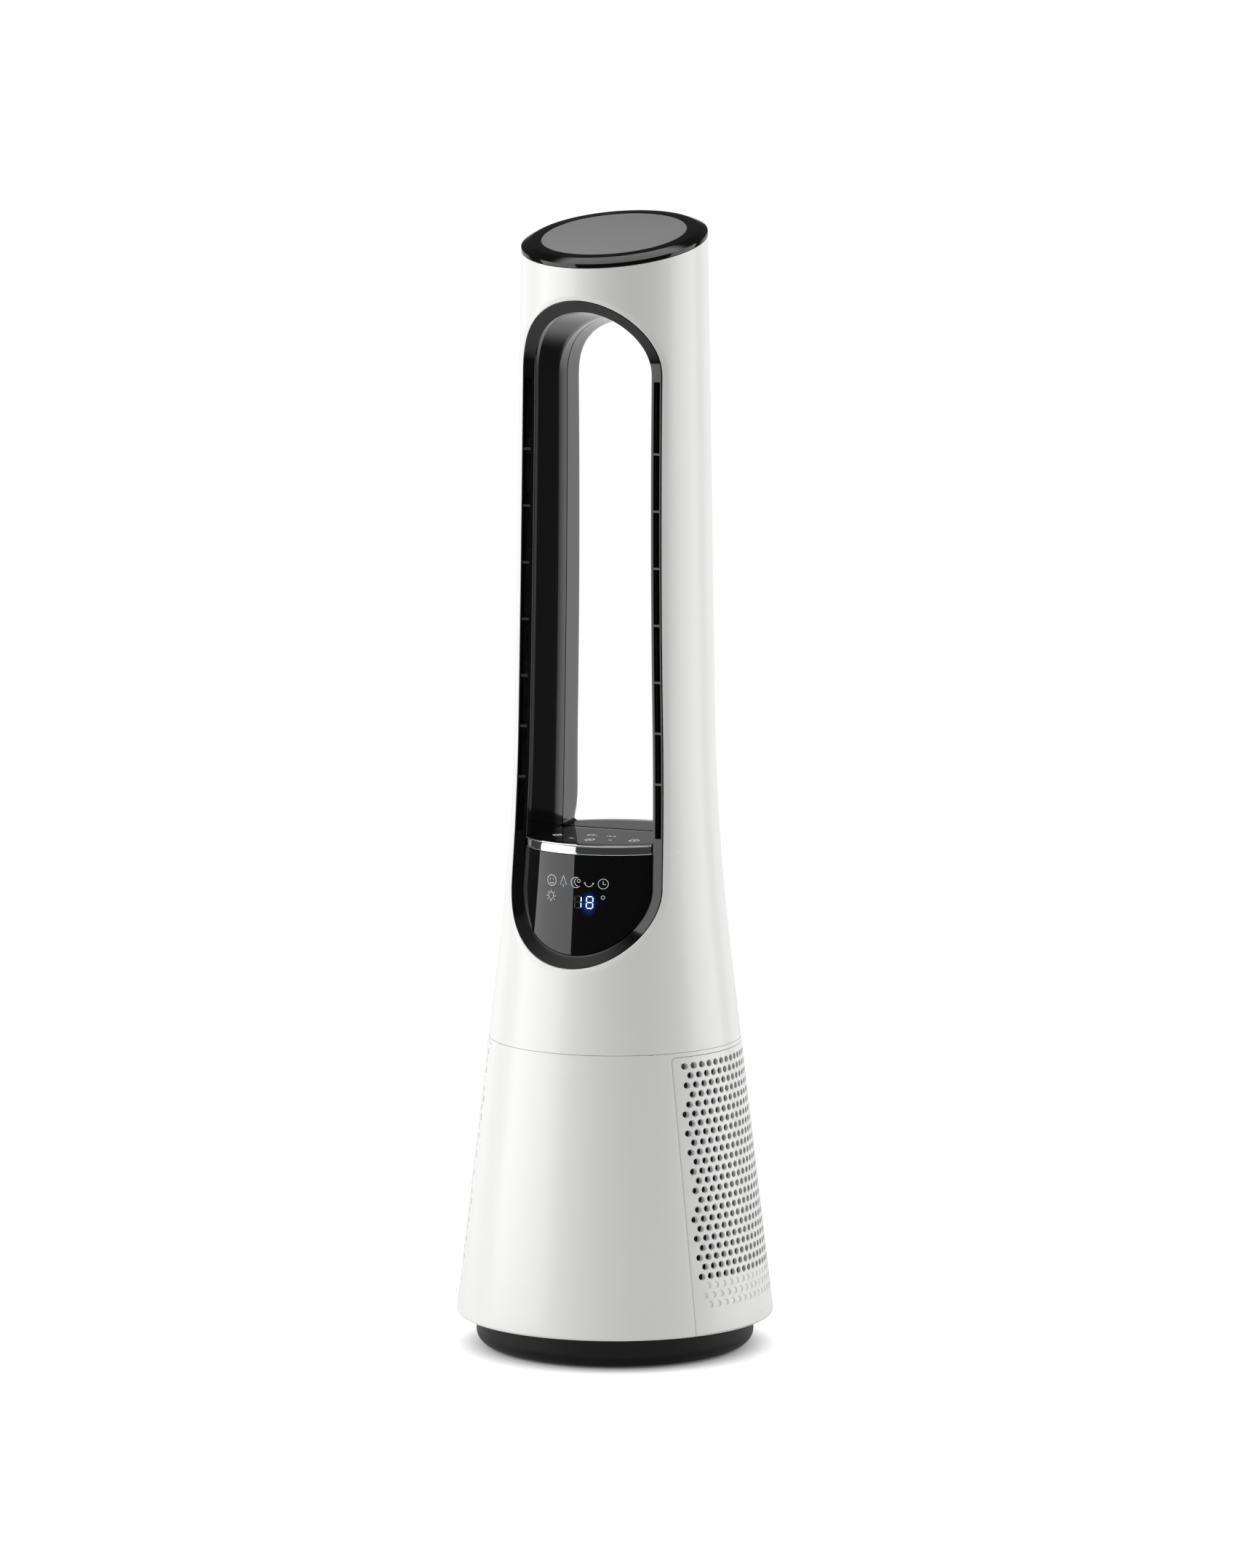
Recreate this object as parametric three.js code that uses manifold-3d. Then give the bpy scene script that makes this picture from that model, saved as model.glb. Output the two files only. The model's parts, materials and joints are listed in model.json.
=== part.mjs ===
// A bladeless tower fan: a white tapering casing with a tall loop through its upper half, on a round
// black base that it swings on. An impeller inside the foot draws air in through the side grilles and
// blows it up both hollow sides of the loop and out of the slots beside the opening.
//
// Millimetres, +Z up. The origin is on the floor under the middle of the base, the fan faces -Y and
// +X is to the right of someone who looks at its front.

import * as THREE from 'three';
import { mergeVertices } from 'three/addons/utils/BufferGeometryUtils.js';
import Module from 'manifold-3d';

const wasm = await Module();
wasm.setup();

// ---- Driving dimensions -------------------------------------------------------------------------

// Clearances
const FIT = 0.3; // between fixed pieces that touch
const CURVE_FIT = 0.5; // between curved skins that follow each other
const OPEN = 200; // how far a cutter reaches past what it cuts

// Casing: a cone below, a nearly straight column above, and a soft waist between them
const RIM_RADIUS = 130;
const RIM_Z = 27;
const CONE_TAPER = 0.1185;
const COLUMN_TAPER = 0.016;
const WAIST_Z = 424.6;
const WAIST_BLEND = 95;
const WALL = 2.6;
const RIM_FILLET = 3;
const RIM_DRAW_IN = 2.4; // how far the fillet brings the rim's lower edge in
const CASING_SEAM_Z = 255.6;
const CROWN_Z = 903;
const CROWN_TILT = THREE.MathUtils.degToRad(12);
const FACETS = 40;
const INNER_FACETS = 20;
const WAIST_STEPS = 4;

// Base
const PAD_STAND = 1.2;
const PAD_RADIUS = 9;
const PAD_HEIGHT = 2.6;
const PLINTH_INSET = 16.4; // how far the plinth stands in from the rim
const PLINTH_RADIUS = RIM_RADIUS - PLINTH_INSET;
const PLINTH_DRAW_IN = 11.6;
const PLINTH_FOOT_RADIUS = PLINTH_RADIUS - PLINTH_DRAW_IN;
const PLINTH_FILLET = 11.5;
const PLINTH_WALL = 3;
const PLINTH_TOP_Z = 26.2;
const PAD_INSET = 18;
const PAD_CIRCLE = PLINTH_FOOT_RADIUS - PAD_INSET;
const BALLAST_EDGE_GAP = 6;
const BALLAST_RADIUS = PLINTH_FOOT_RADIUS - BALLAST_EDGE_GAP;
const BALLAST_BORE = 30;
const BALLAST_THICKNESS = 6;
const BALLAST_SCREW_CIRCLE = 66;
const BALLAST_SCREW_GRIP = 1.5; // how deep the screws sit in the floor of the base
const SLIDE_INSET = 2;
const SLIDE_RADIUS = BALLAST_RADIUS - SLIDE_INSET;
const SLIDE_WIDTH = 4;
const POST_RADIUS = 16;
const POST_BORE = 10;
const POST_FLANGE_RADIUS = 26;
const POST_TOP_Z = 40;
const LOCK_RING_RADIUS = 22;
const LOCK_RING_HEIGHT = 4;

// Swing drive: a fixed gear round the post and a motor pinion that walks round it
const GEAR_MODULE = 2;
const GEAR_TEETH = 36;
const PINION_TEETH = 9;
const GEAR_HEIGHT = 8;
const GEAR_BACKLASH = 0.25;
const GEAR_ADDENDUM = 0.9; // in modules
const GEAR_DEDENDUM = 1.2;
const TOOTH_TIP_HALF = 0.13; // in shares of the tooth spacing
const TOOTH_ROOT_HALF = 0.36;
const PINION_SHAFT_RADIUS = 2.5;
const PINION_SHAFT_TOP_Z = 44;
const SWING_MOTOR_RADIUS = 14;
const SWING_MOTOR_HEIGHT = 20;
const MOTOR_EAR_REACH = 20.3;
const MOTOR_EAR_HALF_WIDTH = 4;
const MOTOR_EAR_THICKNESS = 1.5;
const PINION_WINDOW_RADIUS = 4;

// Power inlet in the back of the base
const INLET_WIDTH = 22;
const INLET_HEIGHT = 12;
const INLET_DEPTH = 14;
const INLET_Z = 18;
const SOCKET_WIDTH = 16.4;
const SOCKET_HEIGHT = 8.6;
const SOCKET_DEPTH = 11;
const INLET_PIN_RADIUS = 1.2;
const INLET_PIN_LENGTH = 8.2;
const INLET_PIN_SPACING = 8.6;

// Turntable
const TURNTABLE_THICKNESS = 3;
const TURNTABLE_RUNNING_GAP = 0.3;
const HUB_RADIUS = 25;
const HUB_HEIGHT = 6;
const CASING_BOSS_INSET = 15;
const CASING_BOSS_CIRCLE = RIM_RADIUS - CASING_BOSS_INSET;
const CASING_BOSS_HEIGHT = 20;
const CASING_BOSS_WIDTH = 9;
const SCREW_ANGLE = THREE.MathUtils.degToRad(30);
const SCREW_RADIUS = 2;
const SCREW_HEAD_RADIUS = 3.8;
const SCREW_HEAD_HEIGHT = 1.8;
const SCREW_FACETS = 8;
const PAD_FACETS = 14;

// Side grilles
const GRILLE_TOP_BAND = 3.6; // casing above a grille, below the seam
const GRILLE_TOP_Z = CASING_SEAM_Z - GRILLE_TOP_BAND;
const GRILLE_TOP_HALF_WIDTH = 66.2;
const GRILLE_SPREAD = 0.042;
const GRILLE_CORNER = 3;
const GRILLE_REBATE = 5;
const REBATE_LAND = 2.1; // thickness of the seat behind a cover
const AIR_WINDOW_TOP_LAND = 4;
const AIR_WINDOW_TOP_Z = GRILLE_TOP_Z - AIR_WINDOW_TOP_LAND;
const AIR_WINDOW_LOW_Z = 69;
const HOLE_RADIUS = 5.4;
const HOLE_PITCH = 18;
const HOLE_TOP_GAP = 13;
const HOLE_TOP_Z = GRILLE_TOP_Z - HOLE_TOP_GAP;
const HOLE_ROWS = 10;
const HOLE_MARGIN = 7.5;
const HOLE_SIDES = 4;
const FILTER_DEPTH = 9;
const FILTER_BORDER = 6;
const FILTER_TOP_GAP = 1.2;
const FILTER_TAIL = 5;
const PLEATS = 14;
const PLEAT_DEPTH = 6;
const PLEAT_PAPER = 1;

// Collar where the two casings and the fan frame meet
const COLLAR_WIDTH = 9;
const COLLAR_HEIGHT = 6;
const FRAME_THICKNESS = 3;
const FRAME_SCREW_INSET = 6.4109;
const FRAME_SCREW_CIRCLE = casingRadius(CASING_SEAM_Z) - FRAME_SCREW_INSET;

// Fan unit
const HOUSING_INSET = 24.9109;
const HOUSING_RADIUS = casingRadius(CASING_SEAM_Z) - HOUSING_INSET;
const HOUSING_WALL = 2;
const HOUSING_FLANGE_WIDTH = 11.5;
const HOUSING_FLANGE_RADIUS = HOUSING_RADIUS + HOUSING_FLANGE_WIDTH;
const HOUSING_FLANGE_HEIGHT = 2;
const DAMPER_HEIGHT = 2;
const BELL_Z = 92;
const BELL_RADIUS = 80;
const THROAT_Z = 106;
const THROAT_RADIUS = 60;
const LIP_RADIUS = 66; // where the bell mouth turns from its cone into the throat
const LIP_Z = 96.9;
const SHROUD_CURVE = 1.5;
const IMPELLER_TOP_Z = 153;
const IMPELLER_BLADES = 9;
const BLADE_ROWS = 3;
const BLADE_TWIST = THREE.MathUtils.degToRad(46);
const BLADE_THICKNESS = 1.8;
const BLADE_TIP_GAP = 1.5;
const IMPELLER_HUB_RADIUS = 50;
const HUB_NOSE_RADIUS = 12;
const HUB_FLARE = 0.85;
const HUB_SKIN = 3;
const HUB_BOSS_RADIUS = 8.8;
const HUB_HOLLOW_Z = 122.5;
const BLADE_END_GAP = 2; // blades start and stop short of the ends of the hub
const BLADE_SWEEP = 0.8;
const SHAFT_RADIUS = 4;
const SHAFT_TOP_Z = 184;
const NUT_HEIGHT = 6.4;
const NUT_RADIUS = 8;
const STATOR_Z = 158;
const STATOR_HEIGHT = 40;
const STATOR_VANES = 7;
const STATOR_FLOOR = 2.4;
const STATOR_WALL = 2.5;
const STATOR_BORE = 8;
const VANE_TWIST = THREE.MathUtils.degToRad(23);
const VANE_END_GAP = 1;
const VANE_ROWS = 3;
const MOTOR_RADIUS = 29;
const MOTOR_HEIGHT = 34;
const MOTOR_SHOULDER = 3;
const TAIL_CONE_HEIGHT = 44;
const TAIL_SHOULDER_RADIUS = 45;
const TAIL_SHOULDER_HEIGHT = 20;
const TAIL_TIP_RADIUS = 21;

// Loop opening, seen from the front
const SHELF_Z = 422.6;
const CROWN_TO_ARCH = 103;
const ARCH_Z = CROWN_Z - CROWN_TO_ARCH;
const ARCH_SIDE = 15.578; // casing seen beside the arch
const ARCH_RADIUS = casingRadius(ARCH_Z) - ARCH_SIDE;
const SHELF_TO_FOOT = 37.1;
const FOOT_Z = SHELF_Z - SHELF_TO_FOOT;
const FOOT_FLARE = 5.5; // how much wider the opening is at its foot
const FOOT_HALF_WIDTH = ARCH_RADIUS + FOOT_FLARE;
const FOOT_DEPTH = 62;
const SIDE_STEPS = 10;
const ARCH_STEPS = 12;

// Nozzle ring round the front of the opening
const RING_WIDTH = 9.8;
const RING_RECESS = 9.5;
const RING_FLANGE = 5;
const RING_WALL = 2;
const RING_THROAT = 8;
const SLOT_SHELF_GAP = 4.9;
const SLOT_LOW_Z = SHELF_Z + SLOT_SHELF_GAP;
const SLOT_ARCH_GAP = 4.5;
const SLOT_HIGH_Z = ARCH_Z - SLOT_ARCH_GAP;
const SLOT_OUTER_INSET = 1.7;
const SLOT_INNER_INSET = 7.4;
const RIB_TOP_GAP = 57.9;
const RIB_TOP_Z = SLOT_HIGH_Z - RIB_TOP_GAP;
const RIB_PITCH = 46;
const RIBS_WIDE = 5;
const RIB_LOW_PITCH = 41.2;
const RIBS_NARROW = 2;
const RIB_THICKNESS = 2;
const VENT_DEPTH = 3;
const VENT_BORDER = 0.7;

// Tunnel through the loop, and the bezel that closes it at the back
const LINER_WALL = 2;
const MOUTH_INSET = 30.878;
const MOUTH_Y = MOUTH_INSET - casingRadius(ARCH_Z); // depth of the mouth beside the opening
const CREASE_Y = 1;
const TUNNEL_PINCH = 1.5;
const SEAM_Y = 18;
const REAR_INSET = 26.878;
const REAR_Y = casingRadius(ARCH_Z) - REAR_INSET;
const REAR_FLARE = 2.2;
const FRONT_APEX_Z = ARCH_Z + ARCH_RADIUS - RING_WIDTH;
const FRONT_APEX_INSET = 18.878;
const FRONT_APEX_Y = FRONT_APEX_INSET - casingRadius(ARCH_Z);
const APEX_DROP = 18; // how much lower the top of the tunnel is at the back
const ARCH_SQUARING = 1.2; // how much fuller than a half circle the arch's shoulders are at the back
const REAR_APEX_Z = FRONT_APEX_Z - APEX_DROP;
const REAR_APEX_INSET = 10.878;
const REAR_APEX_Y = casingRadius(ARCH_Z) - REAR_APEX_INSET;
const REAR_FACE = 4;
const REAR_RECESS = 4.5;
const REAR_SHELF_RECESS = 10;
const REAR_SHELF_BLEND = 26;
const REAR_SILL = 9;

// Shelf with the touch glass, and the display under it
const BAND_HEIGHT = 8.2;
const BAND_RECESS = 9.3;
const BAND_WIDTH = 2.2;
const BAND_BEAD = 1; // height of the bright edges above and below
const GLASS_THICKNESS = 2.6;
const GLASS_SINK = 0.2;
const TRAY_THICKNESS = 5;
const LENS_RECESS = 9.6;
const LENS_THICKNESS = 2.4;
const BOARD_THICKNESS = 1.6;
const DISPLAY_BOARD_INSET = 3.8;
const DISPLAY_BOARD_Y = DISPLAY_BOARD_INSET - FOOT_HALF_WIDTH;
const DISPLAY_BOARD_HALF_WIDTH = 34;
const DISPLAY_BOARD_HEIGHT = 52;
const DISPLAY_BOARD_DROP = 18.6;
const DISPLAY_BOARD_TOP_Z = SHELF_Z - DISPLAY_BOARD_DROP;
const DISPLAY_BOARD_LOW_Z = DISPLAY_BOARD_TOP_Z - DISPLAY_BOARD_HEIGHT;
const DISPLAY_WINDOW_BORDER = 9;
const TOUCH_BOARD_END_GAP = 19.3;
const TOUCH_BOARD_LENGTH = 2 * (ARCH_RADIUS - TOUCH_BOARD_END_GAP);
const TOUCH_BOARD_WIDTH = 36;
const TOUCH_BOARD_INSET = 23.3;
const TOUCH_BOARD_Y = TOUCH_BOARD_INSET - ARCH_RADIUS;
const GUIDE_DROP = 70.6;
const GUIDE_TIP_Z = SHELF_Z - GUIDE_DROP;
const GUIDE_SIDE_GAP = 9.3;
const GUIDE_HALF_WIDTH = ARCH_RADIUS - GUIDE_SIDE_GAP;
const GUIDE_SPREAD = 9.7;
const GUIDE_RADIUS = ARCH_RADIUS + GUIDE_SPREAD;

// Power board on the turntable
const POWER_BOARD_WIDTH = 70;
const POWER_BOARD_HEIGHT = 48;
const POWER_BOARD_INSET = 43;
const POWER_BOARD_Y = RIM_RADIUS - POWER_BOARD_INSET;
const BOARD_PART_SINK = 0.5; // how far parts sit into their board
const COIL_EDGE = 6;
const COIL_WIDTH = 18;
const COIL_DEPTH = 14;
const COIL_LOW = 6;
const HEAT_SINK_X = 4;
const HEAT_SINK_WIDTH = 22;
const HEAT_SINK_DEPTH = 10;
const HEAT_SINK_LOW = 8;
const HEAT_SINK_HEIGHT = 32;

// Cap
const CAP_BAND = 3.6;
const CAP_BEVEL_WIDTH = 7.4;
const CAP_BEVEL_HEIGHT = 3.4;
const CAP_FLAT = 8.9;
const CAP_GLASS_DEPTH = 2.4;
const CAP_FLOOR = 2;
const CAP_SKIRT = 7;
const CAP_SKIRT_WALL = 2;
const CAP_SKIRT_CLEARANCE = 2.2; // the skirt leans with the slope inside an upright wall

// ---- Materials ----------------------------------------------------------------------------------

const finish = (color, roughness, metalness = 0) =>
  new THREE.MeshStandardMaterial({ color, roughness, metalness });

const WHITE_SATIN = finish(0xe9e9e9, 0.34);
const BLACK_GLOSS = finish(0x0b0b0c, 0.12);
const BLACK_SATIN = finish(0x17181a, 0.5);
const SMOKED_GLASS = finish(0x3c3d40, 0.3);
const CLEAR_BLACK = finish(0x060607, 0.06);
const CHROME = finish(0xcfd2d6, 0.12, 1);
const GREY_PLASTIC = finish(0x5c6064, 0.55);
const PALE_PLASTIC = finish(0xb9bcc0, 0.5);
const STEEL = finish(0x9a9da1, 0.35, 1);
const RUBBER = finish(0x202020, 0.85);
const FILTER_CLOTH = finish(0x8f9498, 0.9);
const BOARD_GREEN = finish(0x1f5a3a, 0.6);

const fan = new THREE.Group();
fan.name = 'bladeless_tower_fan';

// ---- Solids from three.js geometry --------------------------------------------------------------

// Twice the tetrahedron volume under each face, summed: negative when the faces point inwards
function signedVolume(positions, index) {
  const corner = (i) => new THREE.Vector3().fromArray(positions, 3 * index[i]);
  let sum = 0;
  for (let i = 0; i < index.length; i += 3) {
    sum += corner(i).dot(corner(i + 1).cross(corner(i + 2)));
  }
  return sum;
}

// A closed geometry becomes a manifold solid with its faces pointing out
function solid(geometry) {
  const bare = geometry.clone();
  bare.deleteAttribute('normal');
  bare.deleteAttribute('uv');
  const merged = mergeVertices(bare, 1e-4);
  const positions = merged.getAttribute('position').array;
  const index = [];
  for (let i = 0; i < merged.index.count; i += 3) {
    const [a, b, c] = merged.index.array.slice(i, i + 3);
    if (a !== b && b !== c && c !== a) index.push(a, b, c);
  }
  if (signedVolume(positions, index) < 0) index.reverse();
  return new wasm.Manifold(new wasm.Mesh({
    numProp: 3,
    vertProperties: new Float32Array(positions),
    triVerts: new Uint32Array(index),
  }));
}

function geometryOf(made) {
  const mesh = made.getMesh();
  const geometry = new THREE.BufferGeometry();
  geometry.setAttribute('position', new THREE.BufferAttribute(new Float32Array(mesh.vertProperties), 3));
  geometry.setIndex(new THREE.BufferAttribute(new Uint32Array(mesh.triVerts), 1));
  geometry.computeVertexNormals();
  return geometry;
}

function addGroup(name, parent) {
  const group = new THREE.Group();
  group.name = name;
  parent.add(group);
  return group;
}

function addPiece(group, name, made, material) {
  const mesh = new THREE.Mesh(geometryOf(made), material);
  mesh.name = name;
  group.add(mesh);
}

// A profile of [radius, height] corners turned round Z; it starts and ends on the axis or closes
function revolve(profile, facets = FACETS) {
  const corners = profile.map(([radius, z]) => new THREE.Vector2(radius, z));
  const onAxis = corners[0].x === 0 && corners.at(-1).x === 0;
  if (!onAxis) corners.push(corners[0].clone());
  return solid(new THREE.LatheGeometry(corners, facets).rotateX(Math.PI / 2));
}

function ring(inner, outer, lowZ, highZ, facets = FACETS) {
  return revolve([[inner, lowZ], [outer, lowZ], [outer, highZ], [inner, highZ]], facets);
}

function disc(radius, lowZ, highZ, facets = FACETS) {
  return revolve([[0, lowZ], [radius, lowZ], [radius, highZ], [0, highZ]], facets);
}

function rod(x, y, lowZ, highZ, radius, facets = SCREW_FACETS) {
  return disc(radius, lowZ, highZ, facets).translate([x, y, 0]);
}

function block(lowX, highX, lowY, highY, lowZ, highZ) {
  const geometry = new THREE.BoxGeometry(highX - lowX, highY - lowY, highZ - lowZ);
  geometry.translate((lowX + highX) / 2, (lowY + highY) / 2, (lowZ + highZ) / 2);
  return solid(geometry);
}

// An outline of Vector2 corners pushed along an axis: its two coordinates are the other two axes
function prism(outline, axis, from, to) {
  const x = new THREE.Vector3(1, 0, 0);
  const y = new THREE.Vector3(0, 1, 0);
  const z = new THREE.Vector3(0, 0, 1);
  const frames = { x: [y, z, x], y: [x, z, y.clone().negate()], z: [x, y, z] };
  const start = axis === 'y' ? -to : from;
  const geometry = new THREE.ExtrudeGeometry(new THREE.Shape(outline), {
    depth: to - from, bevelEnabled: false, steps: 1,
  });
  geometry.translate(0, 0, start);
  geometry.applyMatrix4(new THREE.Matrix4().makeBasis(...frames[axis]));
  return solid(geometry);
}

// A closed skin between two matching grids of points; rows join up into a ring when asked
function skin(front, back, joined = false) {
  const rows = front.length;
  const columns = front[0].length;
  const far = rows * columns;
  const index = [];
  const quad = (a, b, c, d) => index.push(a, b, c, a, c, d);
  for (let row = 0; row < (joined ? rows : rows - 1); row += 1) {
    const here = row * columns;
    const next = ((row + 1) % rows) * columns;
    for (let column = 0; column < columns - 1; column += 1) {
      quad(here + column, next + column, next + column + 1, here + column + 1);
      quad(far + here + column + 1, far + next + column + 1, far + next + column, far + here + column);
    }
    const edge = columns - 1;
    quad(here, far + here, far + next, next);
    quad(next + edge, far + next + edge, far + here + edge, here + edge);
  }
  if (!joined) {
    const last = far - columns;
    for (let column = 0; column < columns - 1; column += 1) {
      quad(column, column + 1, far + column + 1, far + column);
      quad(last + column + 1, last + column, far + last + column, far + last + column + 1);
    }
  }
  const positions = [...front.flat(), ...back.flat()].flatMap((point) => point.toArray());
  const geometry = new THREE.BufferGeometry();
  geometry.setAttribute('position', new THREE.Float32BufferAttribute(positions, 3));
  geometry.setIndex(index);
  return solid(geometry);
}

const mirrored = (made) => made.mirror([1, 0, 0]);
const about = (count, make) => Array.from({ length: count }, (_, i) => make(i, (2 * Math.PI * i) / count));

// ---- Casing -------------------------------------------------------------------------------------

// Outer radius of the white casing at a height
function casingRadius(z) {
  const cone = RIM_RADIUS - CONE_TAPER * (z - RIM_Z);
  const intoWaist = z - (WAIST_Z - WAIST_BLEND);
  if (intoWaist <= 0) return cone;
  const waist = RIM_RADIUS - CONE_TAPER * (WAIST_Z - RIM_Z);
  if (intoWaist >= 2 * WAIST_BLEND) return waist - COLUMN_TAPER * (z - WAIST_Z);
  return cone + ((CONE_TAPER - COLUMN_TAPER) * intoWaist ** 2) / (4 * WAIST_BLEND);
}

// Heights at which a skin between two levels needs a corner
function casingLevels(lowZ, highZ) {
  const levels = [lowZ];
  for (let step = 0; step <= WAIST_STEPS; step += 1) {
    const z = WAIST_Z - WAIST_BLEND + (2 * WAIST_BLEND * step) / WAIST_STEPS;
    if (z > lowZ && z < highZ) levels.push(z);
  }
  return [...levels, highZ];
}

// A skin that follows the casing, between two depths under its outer surface
function casingSkin(outerDepth, innerDepth, lowZ, highZ) {
  const levels = casingLevels(lowZ, highZ);
  const outer = levels.map((z) => [casingRadius(z) - outerDepth, z]);
  const inner = levels.map((z) => [casingRadius(z) - innerDepth, z]);
  return revolve([...outer, ...inner.reverse()]);
}

// A point on a surface that lies at a depth under the casing, at the front (-1) or the back (1)
function onCasing(x, z, depth, side) {
  return new THREE.Vector3(x, side * Math.sqrt((casingRadius(z) - depth) ** 2 - x ** 2), z);
}

const rimFootRadius = casingRadius(RIM_Z) - RIM_DRAW_IN;

// The wall of the lower casing with its rounded bottom rim
function rimmedWall(thickness) {
  const shoulderZ = RIM_Z + RIM_FILLET;
  const top = CASING_SEAM_Z - FIT / 2;
  return revolve([
    [rimFootRadius, RIM_Z],
    [casingRadius(RIM_Z) - RIM_DRAW_IN / 3, RIM_Z + RIM_FILLET / 3],
    [casingRadius(shoulderZ), shoulderZ],
    [casingRadius(top), top],
    [casingRadius(top) - thickness, top],
    [casingRadius(shoulderZ) - thickness, shoulderZ],
    [rimFootRadius - thickness, RIM_Z],
  ]);
}

// The four places where screws join casings, as unit directions from the axis
const screwDirections = [1, -1].flatMap((side) => [1, -1].map((end) => (
  new THREE.Vector2(side * Math.sin(SCREW_ANGLE), end * Math.cos(SCREW_ANGLE))
)));

// Half the width of a grille at a height, less an inset
const grilleHalfWidth = (z, inset = 0) => (
  GRILLE_TOP_HALF_WIDTH + GRILLE_SPREAD * (GRILLE_TOP_Z - z) - inset
);

// Outline of a grille in Y and Z, open past the rim, with two small round corners at the top
function grilleOutline(inset, lowZ, topZ = GRILLE_TOP_Z - inset) {
  const corner = Math.max(GRILLE_CORNER - inset, 1);
  const corners = [];
  for (const side of [1, -1]) {
    const arc = [0, 30, 60, 90].map((degrees) => {
      const angle = THREE.MathUtils.degToRad(side > 0 ? degrees : 90 - degrees);
      const half = grilleHalfWidth(topZ, inset);
      return new THREE.Vector2(
        side * (half - corner + corner * Math.cos(angle)), topZ - corner + corner * Math.sin(angle),
      );
    });
    corners.push(...arc);
  }
  const low = grilleHalfWidth(lowZ, inset);
  return [new THREE.Vector2(low, lowZ), ...corners, new THREE.Vector2(-low, lowZ)];
}

const belowRim = RIM_Z - RIM_FILLET * 2;
const coverDepth = WALL + FIT;
const rebateDepth = coverDepth + REBATE_LAND;

function lowerCasing() {
  const top = CASING_SEAM_Z - FIT / 2;
  const thick = rimmedWall(rebateDepth);
  const frames = prism(grilleOutline(-GRILLE_REBATE - WALL, belowRim, top), 'x', -OPEN, OPEN);
  const collar = ring(
    casingRadius(top) - COLLAR_WIDTH, casingRadius(top) - WALL / 2, top - COLLAR_HEIGHT, top,
  );
  let casing = rimmedWall(WALL).add(thick.intersect(frames)).add(collar);
  const pocket = prism(grilleOutline(0, belowRim), 'x', -OPEN, OPEN);
  casing = casing.subtract(pocket.subtract(insideOfCovers()));
  const air = grilleOutline(GRILLE_REBATE, AIR_WINDOW_LOW_Z, AIR_WINDOW_TOP_Z);
  casing = casing.subtract(prism(air, 'x', -OPEN, OPEN));
  for (const toward of screwDirections) {
    casing = casing.add(casingBoss(toward));
  }
  for (const toward of screwDirections) {
    const low = toward.clone().multiplyScalar(CASING_BOSS_CIRCLE);
    const high = toward.clone().multiplyScalar(FRAME_SCREW_CIRCLE);
    casing = casing.subtract(rod(low.x, low.y, 0, bossTopZ - WALL, SCREW_RADIUS + FIT));
    const collarLowZ = top - COLLAR_HEIGHT - WALL;
    casing = casing.subtract(rod(high.x, high.y, collarLowZ, top + WALL, SCREW_RADIUS + FIT));
  }
  return casing;
}

const turntableLowZ = RIM_Z + FIT;
const turntableTopZ = turntableLowZ + TURNTABLE_THICKNESS;
const bossTopZ = turntableTopZ + FIT + CASING_BOSS_HEIGHT;

// A screw post that grows out of the inside of the casing wall
function casingBoss(toward) {
  const outer = casingRadius(bossTopZ) - WALL / 2;
  const inner = CASING_BOSS_CIRCLE - CASING_BOSS_WIDTH / 2;
  const half = CASING_BOSS_WIDTH / 2;
  const post = block(inner, outer, -half, half, turntableTopZ + FIT, bossTopZ);
  return post.rotate([0, 0, THREE.MathUtils.radToDeg(toward.angle())]);
}

// What lies inside the two covers and stays when their pockets are cut
function insideOfCovers() {
  const shoulderZ = RIM_Z + RIM_FILLET;
  const rimRadius = rimFootRadius - coverDepth;
  return revolve([
    [0, belowRim], [rimRadius, belowRim], [rimRadius, RIM_Z],
    [casingRadius(shoulderZ) - coverDepth, shoulderZ],
    [casingRadius(GRILLE_TOP_Z + WALL) - coverDepth, GRILLE_TOP_Z + WALL], [0, GRILLE_TOP_Z + WALL],
  ]);
}

function grilleCover() {
  const wall = rimmedWall(WALL);
  const cover = wall.intersect(prism(grilleOutline(FIT, belowRim), 'x', 0, OPEN));
  let holes = null;
  for (let row = 0; row < HOLE_ROWS; row += 1) {
    const z = HOLE_TOP_Z - row * HOLE_PITCH;
    const across = grilleHalfWidth(z, HOLE_MARGIN);
    const shift = row % 2 ? HOLE_PITCH / 2 : 0;
    for (let y = shift - HOLE_PITCH * 6; y < across; y += HOLE_PITCH) {
      if (Math.abs(y) > across) continue;
      const hole = prism(roundOutline(y, z, HOLE_RADIUS, HOLE_SIDES), 'x', 0, OPEN);
      holes = holes ? holes.add(hole) : hole;
    }
  }
  return cover.subtract(holes);
}

function roundOutline(u, v, radius, sides) {
  return about(sides, (_, angle) => (
    new THREE.Vector2(u + radius * Math.cos(angle), v + radius * Math.sin(angle))
  ));
}

// The filter cartridge follows the cone behind the rebate: a frame, and a pleated sheet in it
const filterTopZ = CASING_SEAM_Z - COLLAR_HEIGHT - FILTER_TOP_GAP;
const filterLowZ = AIR_WINDOW_LOW_Z - FILTER_TAIL;
const filterDepth = rebateDepth + FIT;

function filterFrame() {
  const layer = casingSkin(filterDepth, filterDepth + FILTER_DEPTH, filterLowZ, filterTopZ);
  const outer = grilleOutline(FIT, filterLowZ - WALL, filterTopZ + WALL);
  const inner = grilleOutline(FILTER_BORDER, filterLowZ + FILTER_BORDER, filterTopZ - FILTER_BORDER);
  return layer.intersect(prism(outer, 'x', 0, OPEN)).subtract(prism(inner, 'x', 0, OPEN));
}

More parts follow.
